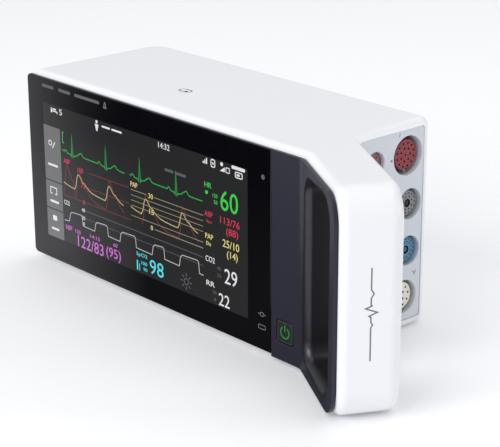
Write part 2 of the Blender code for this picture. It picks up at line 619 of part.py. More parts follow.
def build_back(paint, device):
    plate = slab("mount_plate", rectangle(*PLATE_X, *PLATE_Z, 3.0), SHELL_BACK + GAP, MOUNT_PLATE_BACK,
                 paint["panel"], device, "XZ", round_high=0.6, steps=1)
    groove = (SHELL_BACK + 1.2, SHELL_BACK + 2.4)
    for name, low in (("lower", PLATE_Z[0] - 5), ("upper", PLATE_Z[1] - 2)):
        cut(plate, box(f"rail_groove_{name}", (50, 140), groove, (low, low + 7), None, device))
    for number, (x, z) in enumerate(MOUNT_SCREWS, 1):
        cut(plate, slab(f"plate_bore_{number}", circle(x, z, 2.0, 12), 60, 98, None, device, "XZ"))
        cut(plate, slab(f"plate_head_bore_{number}", circle(x, z, 3.8, 16), SHELL_BACK + 1.6, 98, None,
                        device, "XZ"))
        screw(f"mount_screw_{number}", x, z, SHELL_BACK + 1.8, 1.6, 3.4, 1.6, 11.8, paint["steel"], device)
    for number, (x, z) in enumerate(CASE_SCREWS, 1):
        screw(f"case_screw_{number}", x, z, SHELL_BACK - BACK_WALL, 1.8, 2.9, 1.5, 7.7, paint["steel"],
              device)
    dock_floor = SHELL_BACK - 8.0
    dock = slab("dock_connector_shell", rectangle(DOCK_X[0] + GAP, DOCK_X[1] - GAP, DOCK_Z[0] + GAP,
                                                  DOCK_Z[1] - GAP), dock_floor - 2.0, SHELL_BACK - 0.4,
                paint["black"], device, "XZ")
    recess = rectangle(DOCK_X[0] + 2, DOCK_X[1] - 2, DOCK_Z[0] + 2, DOCK_Z[1] - 2)
    cut(dock, slab("dock_recess", recess, dock_floor, 98, None, device, "XZ"))
    contacts = rectangle(DOCK_X[0] + 5, DOCK_X[1] - 5, 56.5, 61.5)
    slab("dock_contact_block", contacts, dock_floor + GAP, dock_floor + 2.6, paint["steel"], device, "XZ")
    cone = SHELL_BACK - 6.6
    speaker = slab("speaker", circle(SPEAKER_X, SPEAKER_Z, SPEAKER_R), cone, cone + 3.8, paint["black"],
                   device, "XZ")
    add(speaker, slab("speaker_magnet", circle(SPEAKER_X, SPEAKER_Z, 7.0, 16), cone - 6.4, cone + 0.6, None,
                      device, "XZ"))
    for number, (x, y) in enumerate(FOOT_SPOTS, 1):
        slab(f"foot_{number}", circle(x, y, FOOT_R, 16), 0.0, FOOT_TOP, paint["rubber"], device,
             round_low=0.4, steps=1)


def screw(name, x, z, seat, head_height, head_r, shank_r, length, paint, device):
    """Pan-head screw driven forwards, with a square drive recess."""
    made = slab(name, circle(x, z, head_r, 16), seat, seat + head_height, paint, device, "XZ",
                round_high=0.4, steps=1)
    add(made, slab(f"{name}_shank", circle(x, z, shank_r, 12), seat - length, seat + 0.5, None, device, "XZ"))
    recess = rectangle(x - 1.0, x + 1.0, z - 1.0, z + 1.0)
    cut(made, slab(f"{name}_drive", recess, seat + head_height - 1.0, seat + 9, None, device, "XZ"))


def main():
    clear_scene()
    paint = paints()
    device = empty("device_frame", location=CENTRE)
    handle = empty("handle_frame", parent=device, location=(BEND_X, 0, 0), turn=-FLARE)
    build_rear_housing(paint, device, handle)
    build_front_frame(paint, device, handle)
    build_front_pieces(paint, device)
    build_power_key(paint, device)
    build_battery_bay(paint, device)
    build_side_panel(paint, device)
    build_boards_and_chassis(paint, device)
    build_pump(paint, device)
    build_back(paint, device)


main()
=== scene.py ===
"""Finished look of the patient monitor: shells, glass, screen image, sockets, back, stage, light and camera.

Device frame: millimetres, X along the front from its left edge, Y back from the glass, Z up.
The handle has a frame of its own, turned about Z at the bend where it leaves the front face.
"""

import math

import bmesh
import bpy
from mathutils import Matrix, Vector


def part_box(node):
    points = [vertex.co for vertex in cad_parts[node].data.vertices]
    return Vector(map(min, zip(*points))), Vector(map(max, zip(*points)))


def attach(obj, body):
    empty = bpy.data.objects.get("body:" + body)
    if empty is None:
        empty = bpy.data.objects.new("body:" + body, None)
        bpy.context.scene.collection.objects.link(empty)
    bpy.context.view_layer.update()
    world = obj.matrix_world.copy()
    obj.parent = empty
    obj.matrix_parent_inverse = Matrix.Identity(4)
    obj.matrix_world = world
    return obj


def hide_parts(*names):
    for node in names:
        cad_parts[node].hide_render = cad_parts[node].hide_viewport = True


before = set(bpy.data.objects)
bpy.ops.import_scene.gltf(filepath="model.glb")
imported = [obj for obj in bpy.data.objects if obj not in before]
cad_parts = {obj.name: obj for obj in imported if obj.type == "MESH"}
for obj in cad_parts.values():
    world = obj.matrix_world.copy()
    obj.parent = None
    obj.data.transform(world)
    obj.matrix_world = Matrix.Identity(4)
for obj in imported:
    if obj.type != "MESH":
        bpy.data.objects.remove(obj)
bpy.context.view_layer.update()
MM = 0.001

# Sizes repeated from the CAD source, in millimetres
SHELL_LEFT, SHELL_RIGHT = 2.0, 191.0
SHELL_FRONT, SHELL_BACK = 1.8, 81.0
SHELL_BOTTOM, SHELL_TOP = 0.6, 97.0
WALL, BACK_WALL, LID_WALL = 2.2, 2.5, 3.5
FRONT_ROUND, BACK_ROUND = 4.0, 4.4
GAP, SEAM = 0.3, 0.08
FACE_BOTTOM, FACE_TOP, FACE_THICK = 1.8, 94.8, 1.5
GLASS_BOTTOM, GLASS_CORNER, GLASS_RIGHT = 2.8, 2.5, 174.6
PLATE_FRONT, PLATE_BACK = 2.6, 5.2
BEND_X, FLARE, BEND_ROUND = 192.7, math.radians(30.0), 9.0
HANDLE_LENGTH, HANDLE_DEPTH, HANDLE_ROOT = 55.5, 28.4, -30.0
HANDLE_CORNER, HANDLE_WALL, HANDLE_FRONT_ROUND = 14.0, 3.0, 4.1
GRIP_BACK_ROUND, TOP_BACK_ROUND = 6.0, 3.0
SLOT_LEFT, SLOT_RIGHT, SLOT_BOTTOM, SLOT_TOP, SLOT_CORNER = 6.2, 41.5, 9.5, 88.0, 7.0
MOUTH_ROUND_LEFT, MOUTH_ROUND_RIGHT = 3.8, 5.5
MOUTH_TURN_LEFT, MOUTH_TURN_RIGHT = 60.0, 90.0
LCD = (8.5, 161.5, 11.5, 86.0)
KEY_LEFT, KEY_BOTTOM, KEY_SIDE = 178.3, 10.2, 10.0
KEY_FRONT, KEY_CAP_BACK, KEY_TRAVEL, KEY_STEM_INSET = 0.1, 2.1, 0.8, 1.5
BAY_FRONT, BAY_BACK, BAY_BOTTOM, BAY_TOP = 14.3, 66.8, 10.0, 38.0
HINGE_X, HINGE_Y, KNUCKLE_R, PIN_R = 3.6, 64.4, 1.6, 0.7
LATCH, LATCH_WINDOW = (21, 29, 20, 28), (17.6, 29.4, 19.7, 28.3)
SOCKETS = (
    ("pressure", 66.4, 81.9, 8.9, 7.0),
    ("auxiliary", 68.4, 59.3, 7.0, 5.8),
    ("oximetry", 68.2, 37.5, 6.8, 6.0),
    ("ecg", 65.9, 15.9, 7.9, 6.6),
    ("temperature", 45.9, 81.9, 5.6, 5.1),
)
AIR_PORT = (45.0, 46.0, 7.5)
PANEL_FACE, PANEL_BACK, COLLAR_INNER_X, COLLAR_WALL = 190.6, 187.8, 183.0, 1.3
PANEL_FRONT_Y, PANEL_BACK_Y, PANEL_BOTTOM, PANEL_TOP = 35.8, 76.4, 4.6, 94.0
INSERT_FACE, SOCKET_FLOOR = 188.9, 183.5
PLATE_X, PLATE_Z, MOUNT_PLATE_BACK = (60.0, 130.0), (12.0, 46.0), SHELL_BACK + 3.5
MOUNT_SCREWS = ((69.0, 19.0), (121.0, 19.0), (69.0, 39.0), (121.0, 39.0))
CASE_SCREWS = ((20.0, 12.0), (160.0, 12.0), (20.0, 86.0), (160.0, 86.0))
DOCK_X, DOCK_Z = (36.0, 84.0), (52.0, 66.0)
DOCK_FLOOR, DOCK_FACE = SHELL_BACK - 8.0, SHELL_BACK - 0.4
SPEAKER_X, SPEAKER_Z, SPEAKER_R = 122.0, 64.0, 12.5
FOOT_SPOTS = ((17.3, 14.0), (17.3, 69.8), (173.7, 14.0), (173.7, 69.8))
FOOT_R, FOOT_TOP = 5.0, 1.8
PIN_BORE_R, MOUNT_BORE_R, THROUGH_BACK = PIN_R + 0.25, 2.0, (60, 98)

# Lit area of the display
SCREEN = (11.9, 160.0, 14.6, 82.6)
SCREEN_FRONT = 0.06

glass_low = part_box("touch_glass")[0]
DEVICE = Matrix.Translation((glass_low.x, glass_low.y, 0)) @ Matrix.Scale(MM, 4)
HANDLE = DEVICE @ Matrix.Translation((BEND_X, 0, 0)) @ Matrix.Rotation(-FLARE, 4, "Z")
PLANES = {
    "XY": lambda u, v, w: (u, v, w),
    "XZ": lambda u, v, w: (u, w, v),
    "YZ": lambda u, v, w: (w, u, v),
}


# Outlines

def fillet(corners, steps=8):
    """Outline from (u, v, radius) corners given counter-clockwise, with round corners as arcs."""
    outline = []
    for i, (u, v, radius) in enumerate(corners):
        here = Vector((u, v))
        if radius <= 0:
            outline.append(here)
            continue
        before = (Vector(corners[i - 1][:2]) - here).normalized()
        after = (Vector(corners[(i + 1) % len(corners)][:2]) - here).normalized()
        half = before.angle(after) / 2
        centre = here + (before + after).normalized() * (radius / math.sin(half))
        start = here + before * (radius / math.tan(half)) - centre
        turn = math.pi - 2 * half
        if before.x * after.y - before.y * after.x > 0:
            turn = -turn
        outline += [centre + Matrix.Rotation(turn * k / steps, 2) @ start for k in range(steps + 1)]
    return outline


def rectangle(u0, u1, v0, v1, radius=0.0, steps=6):
    return fillet([(u0, v0, radius), (u1, v0, radius), (u1, v1, radius), (u0, v1, radius)], steps)


def circle(u, v, radius, count=48):
    turns = [2 * math.pi * k / count for k in range(count)]
    return [Vector((u + radius * math.cos(a), v + radius * math.sin(a))) for a in turns]


def inset(outline, amounts):
    """The outline moved inwards, each point by its own amount, along the mitre of its two edges."""
    moved = []
    for i, point in enumerate(outline):
        back = (point - outline[i - 1]).normalized()
        ahead = (outline[(i + 1) % len(outline)] - point).normalized()
        mitre = Vector((-back.y - ahead.y, back.x + ahead.x))
        moved.append(point + mitre * (2 * amounts[i] / mitre.length_squared))
    return moved


# Meshes in millimetres

def ring_mesh(rings, mesh=None):
    """Closed bmesh through equal rings of 3-D points, capped at both ends."""
    mesh = mesh or bmesh.new()
    loops = [[mesh.verts.new(p) for p in ring] for ring in rings]
    for low, high in zip(loops, loops[1:]):
        for i in range(len(low)):
            mesh.faces.new((low[i - 1], low[i], high[i], high[i - 1]))
    mesh.faces.new(loops[0])
    mesh.faces.new(loops[-1])
    return mesh


def slab_mesh(outline, low, high, plane="XY", round_low=0.0, round_high=0.0, steps=6, mesh=None):
    """Outline extruded from low to high, its end edges rounded. A radius may be one per point."""
    to_space = PLANES[plane]
    lows = round_low if hasattr(round_low, "__len__") else [round_low] * len(outline)
    highs = round_high if hasattr(round_high, "__len__") else [round_high] * len(outline)
    rings = []
    if max(lows) > 0:
        for k in range(steps):
            a = math.pi / 2 * k / steps
            points = inset(outline, [r * (1 - math.sin(a)) for r in lows])
            rings.append([to_space(p.x, p.y, low + r * (1 - math.cos(a))) for p, r in zip(points, lows)])
    rings.append([to_space(p.x, p.y, low + r) for p, r in zip(outline, lows)])
    rings.append([to_space(p.x, p.y, high - r) for p, r in zip(outline, highs)])
    if max(highs) > 0:
        for k in range(1, steps + 1):
            a = math.pi / 2 * k / steps
            points = inset(outline, [r * (1 - math.cos(a)) for r in highs])
            rings.append([to_space(p.x, p.y, high - r + r * math.sin(a)) for p, r in zip(points, highs)])
    return ring_mesh(rings, mesh)


def block_mesh(x, y, z):
    return slab_mesh(rectangle(*x, *y), *z)


def mouth_mesh(outline, plane, inner, face, radius, beyond=3.0, steps=4):
    """Cutter of an opening whose edge at the face is rounded outwards."""
    to_space = PLANES[plane]
    way = 1 if face > inner else -1
    rings = [[to_space(p.x, p.y, inner) for p in outline]]
    for k in range(steps + 1):
        a = math.pi / 2 * k / steps
        points = inset(outline, [radius * (math.cos(a) - 1)] * len(outline))
        rings.append([to_space(p.x, p.y, face - way * radius * (1 - math.sin(a))) for p in points])
    rings.append([to_space(p.x, p.y, face + way * beyond) for p in points])
    return ring_mesh(rings)


def revolved(profile, centre, count=40):
    """Closed ring whose (radius, height) profile turns about an upright axis through centre."""
    mesh = bmesh.new()
    loops = []
    for k in range(count):
        a = 2 * math.pi * k / count
        loops.append([mesh.verts.new((centre[0] + r * math.cos(a), centre[1] + r * math.sin(a), h))
                      for r, h in profile])
    for k in range(count):
        near, far = loops[k - 1], loops[k]
        for i in range(len(profile)):
            mesh.faces.new((near[i - 1], near[i], far[i], far[i - 1]))
    return mesh


def stroke(mesh, points, width, back, front, plane="XZ", closed=False):
    """Flat stroke through 2-D points, with mitred corners, as a thin solid from back to front."""
    to_space = PLANES[plane]
    line = [Vector(p) for p in points]
    loops = []
    for i, point in enumerate(line):
        before = line[i] - line[i - 1] if i or closed else line[1] - line[0]
        after = line[(i + 1) % len(line)] - line[i] if i + 1 < len(line) or closed else before
        before, after = before.normalized(), after.normalized()
        mitre = Vector((-before.y - after.y, before.x + after.x))
        if mitre.length < 0.7:
            mitre = mitre.normalized() * 0.7 if mitre.length > 1e-6 else Vector((-before.y, before.x))
        side = mitre * (width / mitre.length_squared)
        loops.append([mesh.verts.new(to_space(*(point + side * s), w))
                      for s, w in ((1, back), (1, front), (-1, front), (-1, back))])
    pairs = list(zip(loops, loops[1:])) + ([(loops[-1], loops[0])] if closed else [])
    for near, far in pairs:
        for i in range(4):
            mesh.faces.new((near[i - 1], near[i], far[i], far[i - 1]))
    if not closed:
        mesh.faces.new(loops[0])
        mesh.faces.new(loops[-1])


def ring_points(u, v, radius, start=0.0, end=360.0, count=24):
    span = [math.radians(start + (end - start) * k / count) for k in range(count + 1)]
    points = [(u + radius * math.cos(a), v + radius * math.sin(a)) for a in span]
    return points[:-1] if end - start >= 360 else points


def placed(name, data):
    made = bpy.data.objects.new(name, data)
    bpy.context.scene.collection.objects.link(made)
    return made


def lettering(mesh, text, u0, u1, v0, v1, back, front):
    """Numerals or a short measurement label, fitted into a box of the display plane."""
    curve = bpy.data.curves.new("lettering", "FONT")
    curve.body, curve.resolution_u, curve.extrude = text, 3, 0.5
    made = placed("lettering", curve)
    graph = bpy.context.evaluated_depsgraph_get()
    data = bpy.data.meshes.new_from_object(made.evaluated_get(graph))
    bpy.data.objects.remove(made)
    xs, ys = [v.co.x for v in data.vertices], [v.co.y for v in data.vertices]
    for vertex in data.vertices:
        x, y, z = vertex.co
        vertex.co = (u0 + (x - min(xs)) / (max(xs) - min(xs)) * (u1 - u0),
                     back + (front - back) * (z + 0.5),
                     v0 + (y - min(ys)) / (max(ys) - min(ys)) * (v1 - v0))
    mesh.from_mesh(data)


# Materials

COAT_ROUGHNESS, GRAIN_DEPTH = 0.12, 0.00003


def fed(node, values):
    """The node, with values set on its inputs by name."""
    for socket, value in values.items():
        node.inputs[socket].default_value = value
    return node


def blend(nodes, colour, vary):
    """Mix node between a colour a little darker and one a little lighter."""
    mix = nodes.new("ShaderNodeMix")
    mix.data_type = "RGBA"
    return fed(mix, {"A": (*[c * (1 - vary) for c in colour], 1.0),
                     "B": (*[min(1.0, c * (1 + vary)) for c in colour], 1.0)})


def surface(name, colour, rough, vary=0.05, large=22.0, fine=1600.0, bump=0.12, spread=0.05, metallic=0.0,
            coat=0.0, level=0.5, stretch=(1.0, 1.0, 1.0)):
    """Moulded or machined surface: slow colour drift, fine grain in its gloss, and a shallow grain relief."""
    made = bpy.data.materials.new(name)
    made.use_nodes = True
    nodes, links = made.node_tree.nodes, made.node_tree.links
    shader = nodes["Principled BSDF"]
    fed(shader, {"Metallic": metallic, "Coat Weight": coat, "Coat Roughness": COAT_ROUGHNESS,
                 "Specular IOR Level": level})
    place = nodes.new("ShaderNodeTexCoord")
    mapping = fed(nodes.new("ShaderNodeMapping"), {"Scale": stretch})
    links.new(place.outputs["Object"], mapping.inputs["Vector"])
    drift = fed(nodes.new("ShaderNodeTexNoise"), {"Scale": large, "Detail": 4.0})
    grain = fed(nodes.new("ShaderNodeTexNoise"), {"Scale": fine, "Detail": 3.0})
    mix = blend(nodes, colour, vary)
    gloss = fed(nodes.new("ShaderNodeMapRange"), {
        "From Min": 0.3, "From Max": 0.7, "To Min": max(0.02, rough - spread), "To Max": rough + spread})
    relief = fed(nodes.new("ShaderNodeBump"), {"Strength": bump, "Distance": GRAIN_DEPTH})
    for noise in (drift, grain):
        links.new(mapping.outputs["Vector"], noise.inputs["Vector"])
    links.new(drift.outputs["Fac"], mix.inputs["Factor"])
    links.new(mix.outputs["Result"], shader.inputs["Base Color"])
    links.new(grain.outputs["Fac"], gloss.inputs["Value"])
    links.new(gloss.outputs["Result"], shader.inputs["Roughness"])
    links.new(grain.outputs["Fac"], relief.inputs["Height"])
    links.new(relief.outputs["Normal"], shader.inputs["Normal"])
    return made


def lit(name, colour, strength, vary=0.08):
    """Lit part of the display or a lamp, with the slight unevenness of a backlight."""
    made = surface(name, [c * 0.008 for c in colour], 0.08, spread=0.03, fine=60.0, bump=0.0)
    nodes, links = made.node_tree.nodes, made.node_tree.links
    shader = fed(nodes["Principled BSDF"], {"Emission Strength": strength})
    place, mix = nodes.new("ShaderNodeTexCoord"), blend(nodes, colour, vary)
    cloud = fed(nodes.new("ShaderNodeTexNoise"), {"Scale": 45.0})
    links.new(place.outputs["Object"], cloud.inputs["Vector"])
    links.new(cloud.outputs["Fac"], mix.inputs["Factor"])
    links.new(mix.outputs["Result"], shader.inputs["Emission Color"])
    return made


def circuit(name, mask, copper):
    """Solder mask with tracks and pads showing through."""
    made = surface(name, mask, 0.4)
    nodes, links = made.node_tree.nodes, made.node_tree.links
    place = nodes.new("ShaderNodeTexCoord")
    brick = fed(nodes.new("ShaderNodeTexBrick"), {
        "Scale": 140.0, "Mortar Size": 0.03, "Mortar": (*copper, 1.0), "Color1": (*mask, 1.0),
        "Color2": (*[c * 1.3 for c in mask], 1.0)})
    links.new(place.outputs["Object"], brick.inputs["Vector"])
    links.new(brick.outputs["Color"], nodes["Principled BSDF"].inputs["Base Color"])
    return made


PAINT = {
    "white_shell": surface("white_shell_satin", (0.835, 0.843, 0.868), 0.34, vary=0.015, bump=0.06,
                           coat=0.12),
    "socket_panel": surface("socket_panel_plastic", (0.64, 0.67, 0.72), 0.5, vary=0.03, bump=0.15),
    "dark_frame": surface("dark_frame_satin", (0.0220, 0.0215, 0.0355), 0.36, vary=0.10, bump=0.14,
                          level=0.3),
    "slot_lining": surface("slot_lining_gloss", (0.0090, 0.0090, 0.0105), 0.34, vary=0.06, bump=0.0,
                           spread=0.01, level=0.65),
    "cover_glass": surface("cover_glass_black", (0.0020, 0.0020, 0.0032), 0.08, spread=0.03, fine=60.0,
                           bump=0.0),
    "screen": lit("display_ground", (0.92, 0.93, 1.0), 0.014),
    "rubber": surface("rubber_foot", (0.035, 0.035, 0.036), 0.8, vary=0.15, bump=0.4, fine=2500.0),
    "sheet_aluminium": surface("sheet_aluminium_rolled", (0.60, 0.61, 0.62), 0.36, metallic=1.0,
                               stretch=(1, 12, 12), bump=0.2),
    "screw_steel": surface("screw_steel_plated", (0.48, 0.48, 0.50), 0.28, metallic=1.0, bump=0.2),
    "circuit_board": circuit("circuit_board_mask", (0.015, 0.13, 0.06), (0.05, 0.26, 0.12)),
    "moulded_black": surface("moulded_black_grain", (0.018, 0.018, 0.020), 0.5, vary=0.12, bump=0.25),
    "battery_case": surface("battery_case_grain", (0.09, 0.09, 0.10), 0.5, vary=0.08, bump=0.2),
    "light_guide": surface("light_guide_smoked", (0.16, 0.16, 0.17), 0.25),
    "air_hose": surface("air_hose_silicone", (0.70, 0.73, 0.75), 0.5, vary=0.04, bump=0.2),
    "pressure_insert_plastic": surface("insert_red", (0.235, 0.014, 0.028), 0.42, vary=0.10, bump=0.3),
    "auxiliary_insert_plastic": surface("insert_grey", (0.21, 0.21, 0.215), 0.42, vary=0.10, bump=0.3),
    "oximetry_insert_plastic": surface("insert_blue", (0.060, 0.21, 0.35), 0.42, vary=0.10, bump=0.3),
    "ecg_insert_plastic": surface("insert_cream", (0.82, 0.79, 0.68), 0.42, vary=0.05, bump=0.3),
    "temperature_insert_plastic": surface("insert_brown", (0.28, 0.09, 0.08), 0.42, vary=0.12, bump=0.3),
    # Near black on the walls and floors of the contact holes and centre bores, and on the auxiliary core:
    # painted shade in the recesses, darker than the insert plastic
    "hole": surface("contact_hole_painted_shade", (0.012, 0.008, 0.010), 0.6),
    "teal": surface("centre_teal", (0.010, 0.11, 0.14), 0.4),
    "gold": surface("contact_gold", (0.80, 0.60, 0.28), 0.3, metallic=1.0),
    "print_grey": surface("printed_grey", (0.17, 0.175, 0.19), 0.5, vary=0.06),
    "print_dim": surface("printed_dim", (0.085, 0.085, 0.09), 0.5, vary=0.06),
    "key": surface("key_satin", (0.016, 0.017, 0.019), 0.4, vary=0.1, bump=0.2),
    "key_green": lit("key_symbol_green", (0.05, 0.42, 0.09), 0.55),
}


# Pieces

SHARP_ANGLE = math.radians(32.0)


def linked(name, mesh, space=DEVICE, paint=None):
    bmesh.ops.recalc_face_normals(mesh, faces=mesh.faces)
    mesh.transform(space)
    data = bpy.data.meshes.new(name)
    mesh.to_mesh(data)
    mesh.free()
    if paint:
        data.materials.append(PAINT[paint])
    return placed(name, data)


def applied(made, helpers=()):
    """Freezes the modifiers into the mesh and removes the helper objects."""
    graph = bpy.context.evaluated_depsgraph_get()
    data = bpy.data.meshes.new_from_object(made.evaluated_get(graph))
    made.modifiers.clear()
    made.data = data
    for helper in helpers:
        bpy.data.objects.remove(helper)


def shaped(made, steps, solver="EXACT"):
    """Runs Boolean steps of (operation, mesh, space, paint) on a piece, one after the other."""
    helpers = []
    for number, (operation, mesh, space, paint) in enumerate(steps):
        other = linked(f"{made.name}_step_{number}", mesh, space, paint)
        modifier = made.modifiers.new(other.name, "BOOLEAN")
        modifier.operation, modifier.solver, modifier.object = operation, solver, other
        if solver == "EXACT":
            modifier.material_mode = "TRANSFER"
        helpers.append(other)
    applied(made, helpers)


def finished(made, body="device", slot=None, replaces=()):
    """Shading, and the body and CAD nodes that a piece belongs to. The finish it is given (slot) is not used.
    """
    made.data.shade_smooth()
    made.data.set_sharp_from_angle(angle=SHARP_ANGLE)
    weighted = made.modifiers.new("weighted", "WEIGHTED_NORMAL")
    weighted.keep_sharp = True
    applied(made)
    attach(made, body)
    if replaces:
        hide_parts(*replaces)


def built(name, mesh, paint, steps=(), **belongs):
    """A whole piece: linked, brought into shape and finished."""
    made = linked(name, mesh, paint=paint)
    if steps:
        shaped(made, steps)
    finished(made, **belongs)


def cut(mesh, space=DEVICE, paint=None):
    return ("DIFFERENCE", mesh, space, paint)


def joined(mesh, space=DEVICE, paint=None):
    return ("UNION", mesh, space, paint)


# Shells

def handle_outline(margin_bottom=0.0, margin_top=0.0, margin_end=0.0, root=HANDLE_ROOT, steps=12):
    corner = HANDLE_CORNER - margin_end
    low, high = SHELL_BOTTOM + margin_bottom, SHELL_TOP - margin_top
    end = HANDLE_LENGTH - margin_end
    return fillet([(root, low, 0), (end, low, corner), (end, high, corner), (root, high, 0)], steps)


def slot_outline():
    return rectangle(SLOT_LEFT, SLOT_RIGHT, SLOT_BOTTOM, SLOT_TOP, SLOT_CORNER, 10)


def slot_mesh(steps=10):
    """Cutter of the finger slot. Its mouth flares, so that the face rolls softly into the slot."""
    outline = slot_outline()
    share = [(SLOT_RIGHT - p.x) / (SLOT_RIGHT - SLOT_LEFT) for p in outline]
    radii = [MOUTH_ROUND_RIGHT + (MOUTH_ROUND_LEFT - MOUTH_ROUND_RIGHT) * s for s in share]
    turns = [math.radians(MOUTH_TURN_RIGHT + (MOUTH_TURN_LEFT - MOUTH_TURN_RIGHT) * s) for s in share]
    rings = [[(p.x, HANDLE_DEPTH + 10, p.y) for p in outline]]
    for k in range(steps + 1):
        angles = [turn * k / steps for turn in turns]
        points = inset(outline, [r * (math.cos(a) - 1) for r, a in zip(radii, angles)])
        rings.append([(p.x, r * (1 - math.sin(a)), p.y) for p, r, a in zip(points, radii, angles)])
    points = inset(outline, [r * (math.cos(a) - 1) - 8.7 for r, a in zip(radii, turns)])
    rings.append([(p.x, r * (1 - math.sin(a)) - 5.0, p.y) for p, r, a in zip(points, radii, turns)])
    return ring_mesh(rings)


def trimmed_right_of(mesh, x_limit):
    """Keeps what lies to the right of a plane of the device frame, in a bmesh of the handle frame."""
    turned = Vector((math.cos(FLARE), math.sin(FLARE), 0))
    geometry = mesh.verts[:] + mesh.edges[:] + mesh.faces[:]
    bmesh.ops.bisect_plane(mesh, geom=geometry, plane_co=turned * (x_limit - BEND_X), plane_no=-turned,
                           clear_outer=True)
    bmesh.ops.holes_fill(mesh, edges=mesh.edges)
    return mesh


def handle_back_rounds(outline, depth=0.0):
    start = HANDLE_LENGTH - HANDLE_CORNER
    spread = [min(1.0, max(0.0, (p.x - start) / (HANDLE_CORNER - depth))) for p in outline]
    return [max(0.6, TOP_BACK_ROUND + (GRIP_BACK_ROUND - TOP_BACK_ROUND) * s - depth) for s in spread]


def build_housing():
    body = fillet([(SHELL_LEFT, SHELL_FRONT, 0), (BEND_X + 12, SHELL_FRONT, 0), (BEND_X + 12, 14, 0),
                   (SHELL_RIGHT, 22, 0), (SHELL_RIGHT, SHELL_BACK, 5.0), (SHELL_LEFT, SHELL_BACK, 11.0)], 10)
    edges = [FRONT_ROUND if p.y < 1 + SHELL_FRONT or p.x > SHELL_RIGHT - 9 else BACK_ROUND for p in body]
    shell = linked("housing_shell", slab_mesh(body, SHELL_BOTTOM, SHELL_TOP, round_low=edges,
                                              round_high=edges, steps=8), paint="white_shell")
    outer = handle_outline()
    skin = slab_mesh(outer, SHELL_FRONT, HANDLE_DEPTH, "XZ", round_low=HANDLE_FRONT_ROUND,
                     round_high=handle_back_rounds(outer), steps=8)
    cavity = fillet([(SHELL_LEFT + WALL, -10, 0), (SHELL_RIGHT - WALL, -10, 0),
                     (SHELL_RIGHT - WALL, SHELL_BACK - BACK_WALL, 3.0),
                     (SHELL_LEFT + WALL, SHELL_BACK - BACK_WALL, 9.0)], 4)
    inner = handle_outline(LID_WALL, LID_WALL, HANDLE_WALL)
    pocket = slab_mesh(inner, -10, HANDLE_DEPTH - HANDLE_WALL, "XZ",
                       round_high=handle_back_rounds(inner, HANDLE_WALL))
    steps = [
        joined(skin, HANDLE),
        cut(slab_mesh(cavity, SHELL_BOTTOM + LID_WALL, SHELL_TOP - LID_WALL, round_low=2.5, round_high=2.5,
                      steps=3)),
        cut(trimmed_right_of(pocket, SHELL_RIGHT + GAP), HANDLE),
        cut(slab_mesh(slot_outline(), -10, HANDLE_DEPTH + 10, "XZ"), HANDLE),
        cut(mouth_mesh(rectangle(PANEL_FRONT_Y, PANEL_BACK_Y, PANEL_BOTTOM, PANEL_TOP, 1.8), "YZ",
                       SHELL_RIGHT - 6, SHELL_RIGHT, 0.2)),
        cut(mouth_mesh(rectangle(BAY_FRONT, BAY_BACK, BAY_BOTTOM, BAY_TOP), "YZ", SHELL_LEFT + 4,
                       SHELL_LEFT, 0.3)),
        cut(mouth_mesh(dock_outline(0, 1.2), "XZ", SHELL_BACK - 6, SHELL_BACK, 0.5)),
    ]
    for k in range(-2, 3):
        middle = SPEAKER_X + 4.5 * k
        half = math.sqrt((SPEAKER_R - 2) ** 2 - (4.5 * k) ** 2)
        grille = rectangle(middle - 1, middle + 1, SPEAKER_Z - half, SPEAKER_Z + half, 0.98)
        steps.append(cut(mouth_mesh(grille, "XZ", SHELL_BACK - 6, SHELL_BACK, 0.3)))
    for x, z in CASE_SCREWS:
        seat = SHELL_BACK - BACK_WALL - 0.3
        steps.append(cut(mouth_mesh(circle(x, z, 3.2, 32), "XZ", seat, SHELL_BACK, 0.3)))
    for x, z in MOUNT_SCREWS:
        steps.append(cut(slab_mesh(circle(x, z, MOUNT_BORE_R, 24), *THROUGH_BACK, "XZ")))
    for name, low, high in (("upper", BAY_TOP, BAY_TOP + 4), ("lower", BAY_BOTTOM - 4, BAY_BOTTOM)):
        steps.append(joined(block_mesh((SHELL_LEFT + 1, 6.4), (HINGE_Y - 2.6, HINGE_Y + 2.1), (low, high))))
    steps.append(cut(slab_mesh(circle(HINGE_X, HINGE_Y, PIN_BORE_R, 20), BAY_BOTTOM - 3.2, BAY_TOP + 3.2)))
    for x, y in FOOT_SPOTS:
        steps.append(cut(slab_mesh(circle(x, y, FOOT_R + GAP), SHELL_BOTTOM - 5, FOOT_TOP + GAP)))
    shaped(shell, steps, "MANIFOLD")
    finished(shell, slot="white_shell", replaces=["rear_housing"])


def bent_face_mesh(face_left):
    along = Vector((math.cos(FLARE), -math.sin(FLARE)))
    across = Vector((math.sin(FLARE), math.cos(FLARE)))
    bend = Vector((BEND_X, 0))
    end = bend + along * (HANDLE_LENGTH + 5)
    behind = Vector((BEND_X + FACE_THICK * math.tan(FLARE / 2), FACE_THICK))
    plan = fillet([(face_left, 0, 0), (*bend, BEND_ROUND), (*end, 0), (*(end + across * FACE_THICK), 0),
                   (*behind, BEND_ROUND), (face_left, FACE_THICK, 0)], 6)
    return slab_mesh(plan, -5, 105)


def key_outline(margin, radius=0.0):
    right, top = KEY_LEFT + KEY_SIDE - margin, KEY_BOTTOM + KEY_SIDE - margin
    return rectangle(KEY_LEFT + margin, right, KEY_BOTTOM + margin, top, radius)


